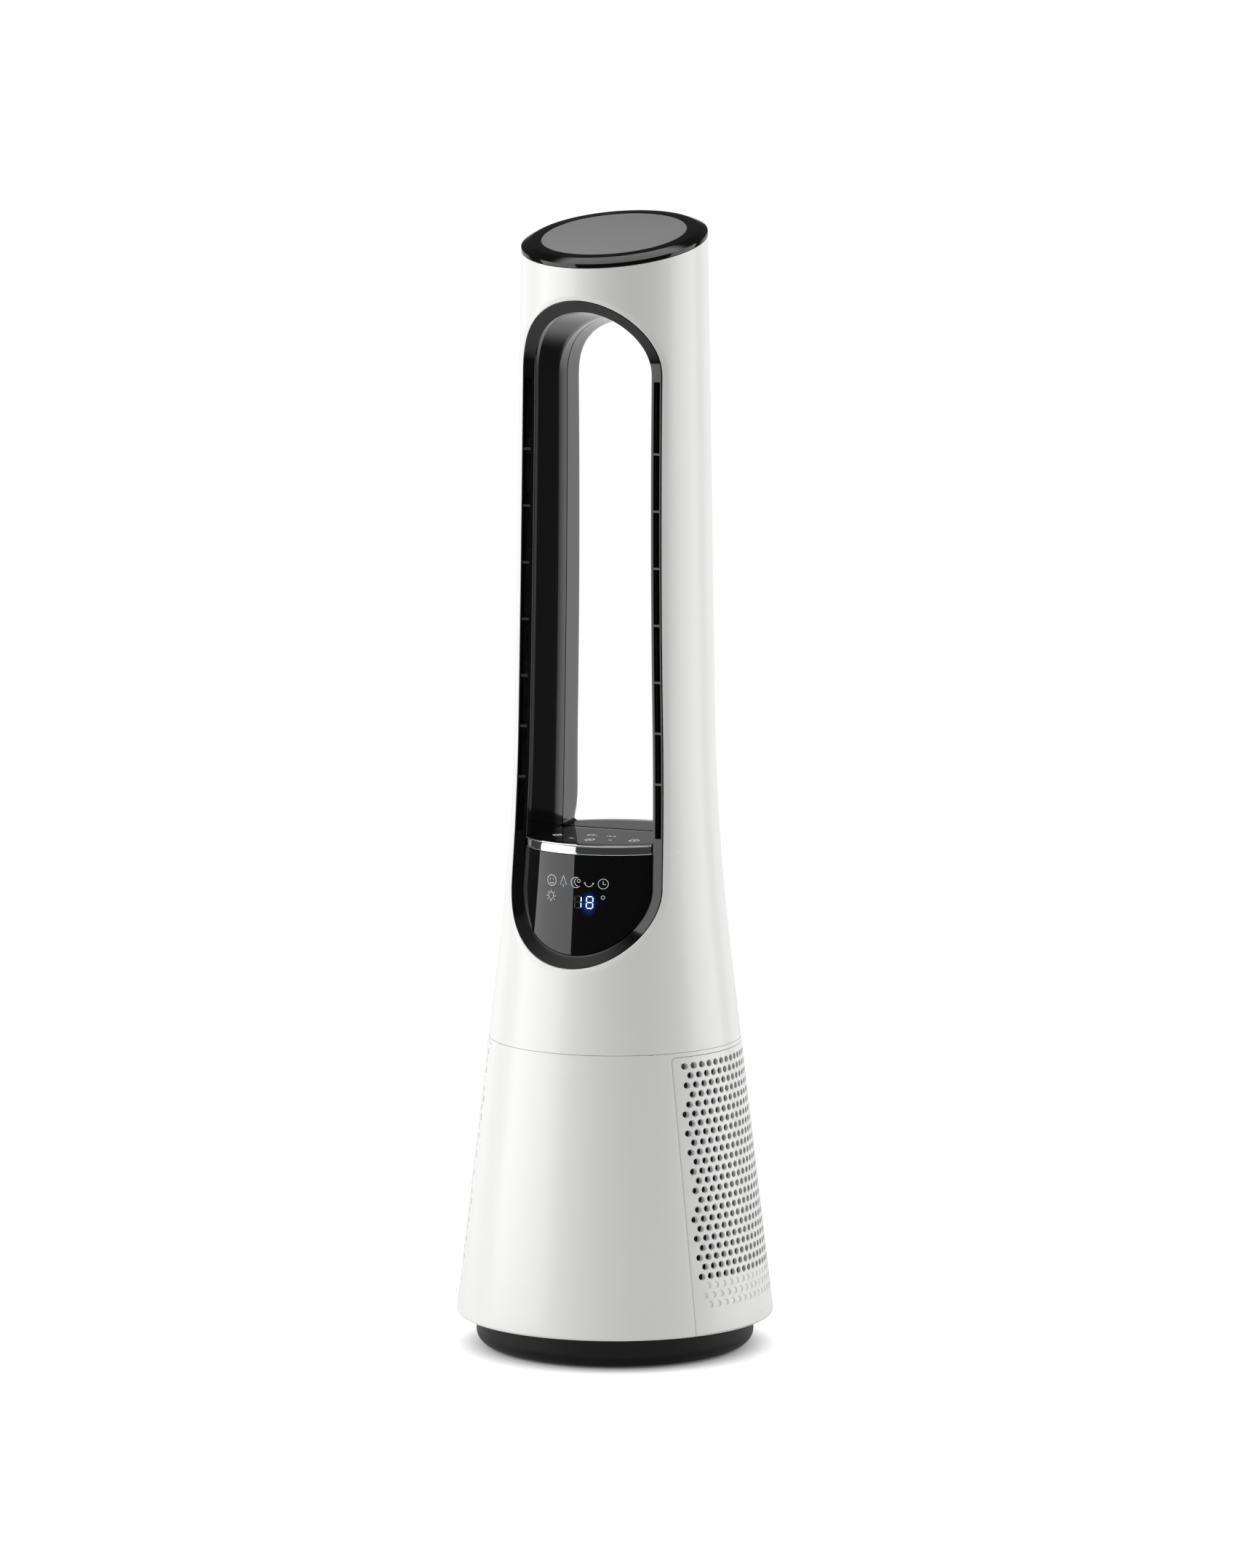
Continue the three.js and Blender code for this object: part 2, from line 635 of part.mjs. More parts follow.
function filterMedia() {
  const low = filterLowZ + FILTER_BORDER + FIT;
  const high = filterTopZ - FILTER_BORDER - FIT;
  const face = (paper) => Array.from({ length: 2 * PLEATS + 1 }, (_, i) => [low, high].map((z) => {
    const across = (i / PLEATS - 1) * grilleHalfWidth(z, FILTER_BORDER + CURVE_FIT);
    const depth = filterDepth + CURVE_FIT + (i % 2) * PLEAT_DEPTH + paper;
    return new THREE.Vector3(Math.sqrt((casingRadius(z) - depth) ** 2 - across ** 2), across, z);
  }));
  return skin(face(0), face(PLEAT_PAPER));
}

// ---- Base ---------------------------------------------------------------------------------------

const plinthFloorZ = PAD_STAND + PLINTH_WALL;
const ballastLowZ = plinthFloorZ + FIT;
const ballastTopZ = ballastLowZ + BALLAST_THICKNESS;
const padSpots = about(4, (_, angle) => new THREE.Vector2(PAD_CIRCLE, 0).rotateAround(
  new THREE.Vector2(), angle + Math.PI / 4,
));
const ballastScrewSpots = about(3, (_, angle) => new THREE.Vector2(0, -BALLAST_SCREW_CIRCLE).rotateAround(
  new THREE.Vector2(), angle,
));

function basePlinth() {
  const shoulderZ = PAD_STAND + PLINTH_FILLET;
  const bulge = (degrees) => {
    const angle = THREE.MathUtils.degToRad(degrees);
    return [
      PLINTH_FOOT_RADIUS + (PLINTH_RADIUS - PLINTH_FOOT_RADIUS) * Math.sin(angle),
      shoulderZ - PLINTH_FILLET * Math.cos(angle),
    ];
  };
  let plinth = revolve([
    [0, PAD_STAND], bulge(0), bulge(30), bulge(60), [PLINTH_RADIUS, shoulderZ],
    [PLINTH_RADIUS, PLINTH_TOP_Z], [PLINTH_RADIUS - PLINTH_WALL, PLINTH_TOP_Z],
    [PLINTH_RADIUS - PLINTH_WALL, shoulderZ], [PLINTH_FOOT_RADIUS, plinthFloorZ], [0, plinthFloorZ],
  ]);
  for (const spot of padSpots) {
    plinth = plinth.subtract(rod(spot.x, spot.y, 0, PAD_HEIGHT + FIT, PAD_RADIUS + FIT, PAD_FACETS));
  }
  for (const spot of ballastScrewSpots) {
    const seatZ = plinthFloorZ - BALLAST_SCREW_GRIP - FIT;
    plinth = plinth.subtract(rod(spot.x, spot.y, seatZ, OPEN, SCREW_RADIUS + FIT));
  }
  const half = INLET_WIDTH / 2 + FIT;
  const rise = INLET_HEIGHT / 2 + FIT;
  return plinth.subtract(block(-half, half, inletFaceY - INLET_DEPTH, OPEN, INLET_Z - rise, INLET_Z + rise));
}

const inletFaceY = Math.sqrt(PLINTH_RADIUS ** 2 - (INLET_WIDTH / 2) ** 2) - FIT;

function powerInlet() {
  const half = INLET_WIDTH / 2;
  const rise = INLET_HEIGHT / 2;
  const body = block(-half, half, inletFaceY - INLET_DEPTH, inletFaceY, INLET_Z - rise, INLET_Z + rise);
  return body.subtract(prism(socketOutline(), 'y', inletFaceY - SOCKET_DEPTH, OPEN));
}

// Two round ends and a straight middle, in X and Z
function socketOutline() {
  const radius = SOCKET_HEIGHT / 2;
  const reach = SOCKET_WIDTH / 2 - radius;
  const steps = 6;
  const end = (side) => Array.from({ length: steps + 1 }, (_, i) => {
    const angle = (-side * Math.PI) / 2 + (Math.PI * i) / steps;
    return new THREE.Vector2(side * reach + radius * Math.cos(angle), INLET_Z + radius * Math.sin(angle));
  });
  return [...end(1), ...end(-1)];
}

function inletPin(side) {
  const backY = inletFaceY - SOCKET_DEPTH + FIT;
  const pin = revolve([
    [0, 0], [INLET_PIN_RADIUS, 0], [INLET_PIN_RADIUS, INLET_PIN_LENGTH - INLET_PIN_RADIUS],
    [INLET_PIN_RADIUS / 2, INLET_PIN_LENGTH], [0, INLET_PIN_LENGTH],
  ], SCREW_FACETS);
  return pin.rotate([-90, 0, 0]).translate([side * INLET_PIN_SPACING / 2, backY, INLET_Z]);
}

function ballastPlate() {
  let plate = ring(BALLAST_BORE, BALLAST_RADIUS, ballastLowZ, ballastTopZ, INNER_FACETS);
  for (const spot of ballastScrewSpots) {
    plate = plate.subtract(rod(spot.x, spot.y, 0, OPEN, SCREW_RADIUS + FIT));
  }
  return plate;
}

// A pan-head screw that points down from under its head, or up when turned over
function screw(spot, seatZ, length, up = false) {
  const way = up ? 1 : -1;
  const profile = [
    [0, seatZ - way * SCREW_HEAD_HEIGHT], [SCREW_HEAD_RADIUS, seatZ - way * SCREW_HEAD_HEIGHT],
    [SCREW_HEAD_RADIUS, seatZ],
    [SCREW_RADIUS, seatZ], [SCREW_RADIUS, seatZ + way * length], [0, seatZ + way * length],
  ];
  return revolve(profile, SCREW_FACETS).translate([spot.x, spot.y, 0]);
}

const slideLowZ = ballastTopZ + FIT;
const slideTopZ = turntableLowZ - TURNTABLE_RUNNING_GAP;
const hubTopZ = turntableLowZ + HUB_HEIGHT;
const lockLowZ = hubTopZ + TURNTABLE_RUNNING_GAP;

function slideRing() {
  return ring(SLIDE_RADIUS - SLIDE_WIDTH, SLIDE_RADIUS, slideLowZ, slideTopZ, INNER_FACETS);
}

function pivotPost() {
  return revolve([
    [POST_BORE, ballastLowZ], [POST_FLANGE_RADIUS, ballastLowZ], [POST_FLANGE_RADIUS, ballastTopZ],
    [POST_RADIUS, ballastTopZ], [POST_RADIUS, POST_TOP_Z], [POST_BORE, POST_TOP_Z],
  ], INNER_FACETS);
}

function lockRing() {
  const topZ = lockLowZ + LOCK_RING_HEIGHT;
  const grips = ring(POST_RADIUS + FIT, LOCK_RING_RADIUS, lockLowZ, topZ, INNER_FACETS);
  return about(6, (_, angle) => angle).reduce((made, angle) => {
    const notch = rod(LOCK_RING_RADIUS, 0, lockLowZ - FIT, OPEN, WALL, 8);
    return made.subtract(notch.rotate([0, 0, THREE.MathUtils.radToDeg(angle)]));
  }, grips);
}

// ---- Swing drive --------------------------------------------------------------------------------

const gearLowZ = ballastTopZ + FIT;
const gearCentres = (GEAR_MODULE * (GEAR_TEETH + PINION_TEETH)) / 2;
const pinionSpot = new THREE.Vector2(0, gearCentres);

// Trapezoid teeth round a pitch circle; the first tooth or the first gap faces +Y
function toothOutline(teeth, toothAtY) {
  const pitch = (GEAR_MODULE * teeth) / 2;
  const tip = pitch + GEAR_MODULE * GEAR_ADDENDUM;
  const root = pitch - GEAR_MODULE * GEAR_DEDENDUM;
  const step = (2 * Math.PI) / teeth;
  const thin = GEAR_BACKLASH / pitch;
  const start = Math.PI / 2 + (toothAtY ? 0 : step / 2);
  return about(teeth, (_, angle) => [
    [root, -TOOTH_ROOT_HALF], [tip, -TOOTH_TIP_HALF], [tip, TOOTH_TIP_HALF], [root, TOOTH_ROOT_HALF],
  ].map(([radius, share]) => {
    const turn = start + angle + share * step - Math.sign(share) * thin / 2;
    return new THREE.Vector2(radius * Math.cos(turn), radius * Math.sin(turn));
  })).flat();
}

function sunGear() {
  const blank = prism(toothOutline(GEAR_TEETH, true), 'z', gearLowZ, gearLowZ + GEAR_HEIGHT);
  return blank.subtract(disc(POST_RADIUS + FIT, 0, OPEN, INNER_FACETS));
}

function drivePinion() {
  const lowZ = gearLowZ + FIT;
  const teeth = prism(toothOutline(PINION_TEETH, false), 'z', lowZ, lowZ + GEAR_HEIGHT);
  const turned = teeth.rotate([0, 0, 180]);
  const shaft = disc(PINION_SHAFT_RADIUS, lowZ, PINION_SHAFT_TOP_Z, PAD_FACETS);
  return turned.add(shaft).translate([pinionSpot.x, pinionSpot.y, 0]);
}

function swingMotor() {
  const lowZ = turntableTopZ + FIT;
  const can = rod(
    pinionSpot.x, pinionSpot.y, lowZ, lowZ + SWING_MOTOR_HEIGHT, SWING_MOTOR_RADIUS, INNER_FACETS,
  );
  const ears = block(
    -MOTOR_EAR_REACH, MOTOR_EAR_REACH, pinionSpot.y - MOTOR_EAR_HALF_WIDTH,
    pinionSpot.y + MOTOR_EAR_HALF_WIDTH, lowZ, lowZ + MOTOR_EAR_THICKNESS,
  );
  const bore = rod(
    pinionSpot.x, pinionSpot.y, 0, PINION_SHAFT_TOP_Z + FIT, PINION_SHAFT_RADIUS + FIT, PAD_FACETS,
  );
  return can.add(ears).subtract(bore);
}

function turntable() {
  const radius = rimFootRadius - rebateDepth - FIT;
  let table = revolve([
    [POST_RADIUS + FIT, turntableLowZ], [radius, turntableLowZ], [radius, turntableTopZ],
    [HUB_RADIUS, turntableTopZ], [HUB_RADIUS, hubTopZ], [POST_RADIUS + FIT, hubTopZ],
  ], INNER_FACETS);
  for (const toward of screwDirections) {
    const spot = toward.clone().multiplyScalar(CASING_BOSS_CIRCLE);
    const seatZ = turntableLowZ + SCREW_HEAD_HEIGHT + FIT;
    table = table.subtract(rod(spot.x, spot.y, 0, OPEN, SCREW_RADIUS + FIT));
    table = table.subtract(rod(spot.x, spot.y, 0, seatZ, SCREW_HEAD_RADIUS + FIT));
  }
  return table.subtract(rod(pinionSpot.x, pinionSpot.y, 0, OPEN, PINION_WINDOW_RADIUS, PAD_FACETS));
}

function powerBoard() {
  const lowZ = turntableTopZ + FIT;
  const half = POWER_BOARD_WIDTH / 2;
  const back = POWER_BOARD_Y + BOARD_THICKNESS;
  const board = block(-half, half, POWER_BOARD_Y, back, lowZ, lowZ + POWER_BOARD_HEIGHT);
  const face = POWER_BOARD_Y + BOARD_PART_SINK;
  const coilX = COIL_EDGE - half;
  const coilZ = lowZ + COIL_LOW;
  const coil = block(
    coilX, coilX + COIL_WIDTH, POWER_BOARD_Y - COIL_DEPTH, face, coilZ, coilZ + COIL_WIDTH,
  );
  const sinkZ = lowZ + HEAT_SINK_LOW;
  const sink = block(
    HEAT_SINK_X, HEAT_SINK_X + HEAT_SINK_WIDTH, POWER_BOARD_Y - HEAT_SINK_DEPTH, face,
    sinkZ, sinkZ + HEAT_SINK_HEIGHT,
  );
  return board.add(coil).add(sink);
}

// ---- Fan unit -----------------------------------------------------------------------------------

const frameLowZ = CASING_SEAM_Z + FIT / 2;
const frameTopZ = frameLowZ + FRAME_THICKNESS;
const damperLowZ = frameTopZ + FIT;
const flangeLowZ = damperLowZ + DAMPER_HEIGHT + FIT;
const housingTopZ = flangeLowZ + HOUSING_FLANGE_HEIGHT;
const housingBore = HOUSING_RADIUS - HOUSING_WALL;

function midFrame() {
  const radius = casingRadius(frameTopZ) - WALL - CURVE_FIT;
  let frame = ring(HOUSING_RADIUS + FIT, radius, frameLowZ, frameTopZ, INNER_FACETS);
  for (const toward of screwDirections) {
    const spot = toward.clone().multiplyScalar(FRAME_SCREW_CIRCLE);
    frame = frame.subtract(rod(spot.x, spot.y, 0, 2 * OPEN, SCREW_RADIUS + FIT));
  }
  return frame;
}

function damperRing() {
  const topZ = damperLowZ + DAMPER_HEIGHT;
  return ring(HOUSING_RADIUS + FIT, HOUSING_FLANGE_RADIUS, damperLowZ, topZ, INNER_FACETS);
}

// Shroud radius inside the housing at a height, from the throat out to the full bore
function shroudRadius(z) {
  const share = THREE.MathUtils.clamp((z - THROAT_Z) / (IMPELLER_TOP_Z - THROAT_Z), 0, 1);
  return THROAT_RADIUS + (housingBore - THROAT_RADIUS) * Math.sin((share * Math.PI) / 2) ** SHROUD_CURVE;
}

function fanHousing() {
  const rise = [0, 0.33, 0.67, 1].map((share) => THROAT_Z + (IMPELLER_TOP_Z - THROAT_Z) * share);
  const inside = rise.map((z) => [shroudRadius(z), z]);
  const outside = rise.map((z) => [shroudRadius(z) + HOUSING_WALL, z + HOUSING_WALL / 2]);
  return revolve([
    [BELL_RADIUS, BELL_Z], [LIP_RADIUS, LIP_Z], ...inside, [housingBore, housingTopZ],
    [HOUSING_FLANGE_RADIUS, housingTopZ], [HOUSING_FLANGE_RADIUS, flangeLowZ], [HOUSING_RADIUS, flangeLowZ],
    ...outside.reverse(), [LIP_RADIUS + HOUSING_WALL, LIP_Z + HOUSING_WALL],
    [BELL_RADIUS, BELL_Z + HOUSING_WALL],
  ], INNER_FACETS);
}

// Hub radius of the impeller at a height: a cone that flares like a bell
function hubRadius(z) {
  const share = (z - THROAT_Z) / (IMPELLER_TOP_Z - THROAT_Z);
  return THREE.MathUtils.lerp(HUB_NOSE_RADIUS, IMPELLER_HUB_RADIUS, share ** HUB_FLARE);
}

function impeller() {
  const rise = [0, 0.33, 0.67, 1].map((share) => THROAT_Z + (IMPELLER_TOP_Z - THROAT_Z) * share);
  const bore = SHAFT_RADIUS + FIT;
  let wheel = revolve([
    [bore, THROAT_Z], ...rise.map((z) => [hubRadius(z), z]),
    [IMPELLER_HUB_RADIUS - HUB_SKIN, IMPELLER_TOP_Z], [HUB_BOSS_RADIUS, HUB_HOLLOW_Z],
    [HUB_BOSS_RADIUS, IMPELLER_TOP_Z - FIT], [bore, IMPELLER_TOP_Z - FIT],
  ], INNER_FACETS);
  const blade = bladeSkin();
  for (const degrees of about(IMPELLER_BLADES, (_, angle) => THREE.MathUtils.radToDeg(angle))) {
    wheel = wheel.add(blade.rotate([0, 0, degrees]));
  }
  return wheel;
}

// One blade: rows climb from the throat to the top, and it leans back as it climbs
function bladeSkin() {
  const surface = (side) => Array.from({ length: BLADE_ROWS }, (_, i) => {
    const share = i / (BLADE_ROWS - 1);
    const z = THREE.MathUtils.lerp(THROAT_Z + BLADE_END_GAP, IMPELLER_TOP_Z - BLADE_END_GAP, share);
    const lean = -BLADE_TWIST * share ** BLADE_SWEEP;
    return [hubRadius(z) - HOUSING_WALL, shroudRadius(z) - BLADE_TIP_GAP].map((radius) => {
      const turn = lean + (side * BLADE_THICKNESS) / (2 * radius);
      return new THREE.Vector3(radius * Math.cos(turn), radius * Math.sin(turn), z);
    });
  });
  return skin(surface(-1), surface(1));
}


function motorShaft() {
  return disc(SHAFT_RADIUS, THROAT_Z - NUT_HEIGHT - 2 * FIT, SHAFT_TOP_Z, INNER_FACETS);
}

function impellerNut() {
  const topZ = THROAT_Z - FIT;
  const outline = roundOutline(0, 0, NUT_RADIUS, 6);
  const bore = disc(SHAFT_RADIUS + FIT, 0, OPEN, INNER_FACETS);
  return prism(outline, 'z', topZ - NUT_HEIGHT, topZ).subtract(bore);
}

const cupRadius = IMPELLER_HUB_RADIUS + STATOR_WALL;

function stator() {
  const topZ = STATOR_Z + STATOR_HEIGHT;
  let made = revolve([
    [STATOR_BORE, STATOR_Z], [cupRadius, STATOR_Z], [cupRadius, topZ],
    [IMPELLER_HUB_RADIUS, topZ], [IMPELLER_HUB_RADIUS, STATOR_Z + STATOR_FLOOR],
    [STATOR_BORE, STATOR_Z + STATOR_FLOOR],
  ], INNER_FACETS);
  const outer = housingBore - CURVE_FIT;
  made = made.add(ring(outer - HOUSING_WALL, outer, STATOR_Z, topZ, INNER_FACETS));
  const vane = vaneSkin(topZ);
  for (const degrees of about(STATOR_VANES, (_, angle) => THREE.MathUtils.radToDeg(angle))) {
    made = made.add(vane.rotate([0, 0, degrees]));
  }
  return made;
}

function vaneSkin(topZ) {
  const surface = (side) => Array.from({ length: VANE_ROWS }, (_, i) => {
    const share = i / (VANE_ROWS - 1);
    const z = THREE.MathUtils.lerp(STATOR_Z + VANE_END_GAP, topZ - VANE_END_GAP, share);
    const lean = -VANE_TWIST * (1 - share) ** 2;
    const inner = IMPELLER_HUB_RADIUS + STATOR_WALL / 2;
    const outer = housingBore - CURVE_FIT - HOUSING_WALL / 2;
    return [inner, outer].map((radius) => {
      const turn = lean + (side * BLADE_THICKNESS) / (2 * radius);
      return new THREE.Vector3(radius * Math.cos(turn), radius * Math.sin(turn), z);
    });
  });
  return skin(surface(-1), surface(1));
}

function fanMotor() {
  const lowZ = STATOR_Z + STATOR_FLOOR + FIT;
  const bore = SHAFT_RADIUS + FIT;
  const topZ = lowZ + MOTOR_HEIGHT;
  return revolve([
    [bore, lowZ], [MOTOR_RADIUS / 2, lowZ], [MOTOR_RADIUS, lowZ + MOTOR_SHOULDER],
    [MOTOR_RADIUS, topZ - MOTOR_SHOULDER], [MOTOR_RADIUS / 2, topZ], [bore, topZ],
  ], INNER_FACETS);
}

function tailCone() {
  const lowZ = STATOR_Z + STATOR_HEIGHT + FIT;
  const shoulderZ = lowZ + TAIL_SHOULDER_HEIGHT;
  const tipZ = lowZ + TAIL_CONE_HEIGHT;
  return revolve([
    [IMPELLER_HUB_RADIUS, lowZ], [cupRadius, lowZ], [TAIL_SHOULDER_RADIUS, shoulderZ],
    [TAIL_TIP_RADIUS, tipZ], [0, tipZ], [0, tipZ - STATOR_WALL],
    [TAIL_TIP_RADIUS - STATOR_WALL, tipZ - STATOR_WALL],
    [TAIL_SHOULDER_RADIUS - STATOR_WALL, shoulderZ - STATOR_WALL / 2],
  ], INNER_FACETS);
}

// ---- Loop opening -------------------------------------------------------------------------------

// Half the width of the front opening on its sides, which spread towards the foot
function openingHalfWidth(z) {
  const down = (ARCH_Z - z) / (ARCH_Z - FOOT_Z);
  return ARCH_RADIUS + (FOOT_HALF_WIDTH - ARCH_RADIUS) * down ** 2;
}

// The front opening in X and Z, drawn in by an inset: right side up, arch, left side down, foot
function frontOutline(inset) {
  const corners = [];
  for (let i = 0; i < SIDE_STEPS; i += 1) {
    const z = THREE.MathUtils.lerp(FOOT_Z, ARCH_Z, i / SIDE_STEPS);
    corners.push(new THREE.Vector2(openingHalfWidth(z) - inset, z));
  }
  for (let i = 0; i < ARCH_STEPS; i += 1) {
    const angle = (Math.PI * i) / ARCH_STEPS;
    const radius = ARCH_RADIUS - inset;
    corners.push(new THREE.Vector2(radius * Math.cos(angle), ARCH_Z + radius * Math.sin(angle)));
  }
  for (let i = 0; i < SIDE_STEPS; i += 1) {
    const z = THREE.MathUtils.lerp(ARCH_Z, FOOT_Z, i / SIDE_STEPS);
    corners.push(new THREE.Vector2(inset - openingHalfWidth(z), z));
  }
  for (let i = 0; i < ARCH_STEPS; i += 1) {
    const angle = Math.PI + (Math.PI * i) / ARCH_STEPS;
    const across = (FOOT_HALF_WIDTH - inset) * Math.cos(angle);
    corners.push(new THREE.Vector2(across, FOOT_Z + (FOOT_DEPTH - inset) * Math.sin(angle)));
  }
  return corners;
}

const flangeDepth = WALL + CURVE_FIT;

// A strip of ring: flange behind the casing, edge, bevel, and a throat that turns inwards
function nozzleRing() {
  const flange = frontOutline(-RING_FLANGE);
  const edge = frontOutline(0);
  const inner = frontOutline(RING_WIDTH);
  const behind = frontOutline(RING_WIDTH - RING_WALL);
  const throat = (point) => point.clone().add(new THREE.Vector3(0, RING_THROAT, 0));
  const front = edge.map((point, i) => {
    const bevel = onCasing(inner[i].x, inner[i].y, RING_RECESS, -1);
    return [
      onCasing(flange[i].x, flange[i].y, flangeDepth, -1),
      onCasing(point.x, point.y, flangeDepth, -1), bevel, throat(bevel),
    ];
  });
  const back = edge.map((point, i) => {
    const bevel = onCasing(behind[i].x, behind[i].y, RING_RECESS + RING_WALL, -1);
    const rim = throat(onCasing(inner[i].x, inner[i].y, RING_RECESS, -1));
    return [
      onCasing(flange[i].x, flange[i].y, flangeDepth + RING_WALL, -1),
      onCasing(point.x, point.y, flangeDepth + RING_WALL, -1), bevel,
      new THREE.Vector3(behind[i].x, rim.y, behind[i].y),
    ];
  });
  const slot = slotCutter(SLOT_OUTER_INSET, SLOT_INNER_INSET, SLOT_LOW_Z, SLOT_HIGH_Z);
  return skin(front, back, true).subtract(slot).subtract(mirrored(slot));
}

// Heights on the right side of the opening between two levels, at the ring's own corners
function sideLevels(lowZ, highZ) {
  const corners = frontOutline(0).slice(0, SIDE_STEPS).map((corner) => corner.y);
  return [lowZ, ...corners.filter((z) => z > lowZ && z < highZ), highZ];
}

// A curved bar that follows the right side of the opening between two insets
function slotCutter(outerInset, innerInset, lowZ, highZ) {
  const face = (y) => sideLevels(lowZ, highZ).map((z) => [outerInset, innerInset].map((inset) => (
    new THREE.Vector3(openingHalfWidth(z) - inset, y, z)
  )));
  return skin(face(-OPEN), face(0));
}

// Heights of the small bridges across the slots, from the top down
const ribHeights = [
  ...Array.from({ length: RIBS_WIDE }, (_, i) => RIB_TOP_Z - i * RIB_PITCH),
  ...Array.from({ length: RIBS_NARROW }, (_, i) => (
    RIB_TOP_Z - (RIBS_WIDE - 1) * RIB_PITCH - (i + 1) * RIB_LOW_PITCH
  )),
].filter((z) => z > SLOT_LOW_Z + RIB_THICKNESS);

// The right vent grille: a strip behind the slot, open except for its ribs
function ventGrille() {
  const outerInset = SLOT_OUTER_INSET - VENT_BORDER;
  const innerInset = SLOT_INNER_INSET;
  const reach = RING_WIDTH - RING_WALL;
  const face = (deeper) => sideLevels(SLOT_LOW_Z - RIB_THICKNESS, SLOT_HIGH_Z + RIB_THICKNESS).map((z) => {
    const half = openingHalfWidth(z);
    const edge = onCasing(half, z, flangeDepth + RING_WALL, -1);
    const bevel = onCasing(half - reach, z, RING_RECESS + RING_WALL, -1);
    return [outerInset, innerInset].map((inset) => (
      edge.clone().lerp(bevel, inset / reach).add(new THREE.Vector3(0, CURVE_FIT + deeper, 0))
    ));
  });
  let strip = skin(face(0), face(VENT_DEPTH));
  const ends = [SLOT_HIGH_Z, ...ribHeights, SLOT_LOW_Z];
  for (let i = 0; i < ends.length - 1; i += 1) {
    const high = ends[i] - (i ? RIB_THICKNESS / 2 : 0);
    const low = ends[i + 1] + (i < ends.length - 2 ? RIB_THICKNESS / 2 : 0);
    strip = strip.subtract(slotCutter(SLOT_OUTER_INSET, SLOT_INNER_INSET - VENT_BORDER, low, high));
  }
  return strip;
}

// How much wider than the ring the tunnel is at a depth from front to back
function tunnelSpread(y) {
  if (y < CREASE_Y) {
    return -TUNNEL_PINCH * THREE.MathUtils.clamp((y - MOUTH_Y) / (CREASE_Y - MOUTH_Y), 0, 1);
  }
  const share = THREE.MathUtils.clamp((y - SEAM_Y) / (REAR_Y - SEAM_Y), 0, 1);
  return -TUNNEL_PINCH + (TUNNEL_PINCH + REAR_FLARE) * share;
}

// Top of the tunnel, which comes down towards the back
function tunnelApex(y) {
  const share = THREE.MathUtils.clamp((y - FRONT_APEX_Y) / (REAR_APEX_Y - FRONT_APEX_Y), 0, 1);
  return THREE.MathUtils.lerp(FRONT_APEX_Z, REAR_APEX_Z, share);
}

// Power of the superellipse that the arch is: a half circle in front of the crease, fuller towards the back
function archPower(y) {
  return 2 / (2 + ARCH_SQUARING * THREE.MathUtils.clamp((y - CREASE_Y) / (REAR_Y - CREASE_Y), 0, 1));
}

// The tunnel in X and Z at a depth: right side up, arch and left side down, made larger by "out"
function tunnelArch(y, out, drop, apexY = y) {
  const spread = tunnelSpread(y);
  const radius = ARCH_RADIUS - RING_WIDTH + spread;
  const centreZ = tunnelApex(apexY) - radius;
  const footZ = SHELF_Z - drop;
  const side = Array.from({ length: SIDE_STEPS }, (_, i) => {
    const z = THREE.MathUtils.lerp(footZ, centreZ, i / SIDE_STEPS);
    return new THREE.Vector2(openingHalfWidth(z) - RING_WIDTH + spread + out, z);
  });
  const arch = Array.from({ length: ARCH_STEPS + 1 }, (_, i) => {
    const angle = (Math.PI * i) / ARCH_STEPS;
    const across = Math.sign(Math.cos(angle)) * Math.abs(Math.cos(angle)) ** archPower(y);
    const up = Math.abs(Math.sin(angle)) ** archPower(y);
    return new THREE.Vector2((radius + out) * across, centreZ + (radius + out) * up);
  });
  const otherSide = side.map((corner) => new THREE.Vector2(-corner.x, corner.y)).reverse();
  return [...side, ...arch, ...otherSide];
}

const linerDrop = BAND_HEIGHT;

function tunnelLiner() {
  const mouth = tunnelArch(-ARCH_RADIUS, 0, linerDrop, FRONT_APEX_Y);
  const mouthY = mouth.map((corner) => onCasing(corner.x, corner.y, RING_RECESS, -1).y + RING_THROAT + FIT);
  const stations = [
    (i) => mouthY[i], () => CREASE_Y, () => SEAM_Y - FIT / 2,
  ];
  const face = (out) => {
    const loops = [
      tunnelArch(-ARCH_RADIUS, out, linerDrop, FRONT_APEX_Y),
      tunnelArch(CREASE_Y, out, linerDrop), tunnelArch(SEAM_Y, out, linerDrop),
    ];
    return mouth.map((_, i) => stations.map((depth, j) => (
      new THREE.Vector3(loops[j][i].x, depth(i), loops[j][i].y)
    )));
  };
  return skin(face(0), face(LINER_WALL));
}

// The tunnel as a closed loop whose floor is the shelf
function tunnelLoop(y, out, drop) {
  const arch = tunnelArch(y, out, drop);
  const half = arch[0].x;
  const steps = 8;
  const floor = Array.from({ length: steps - 1 }, (_, i) => (
    new THREE.Vector2(half * ((2 * (i + 1)) / steps - 1), SHELF_Z - drop)
  ));
  return [...arch, ...floor];
}

// Depth of the bezel's lip under the casing: deeper where the shelf runs out at the back
function lipDepth(z) {
  const nearShelf = THREE.MathUtils.clamp(1 - (z - SHELF_Z) / REAR_SHELF_BLEND, 0, 1);
  return REAR_RECESS + (REAR_SHELF_RECESS - REAR_RECESS) * nearShelf ** 2;
}

const rearEdgeLoop = () => tunnelLoop(REAR_Y, REAR_FACE, REAR_SILL);

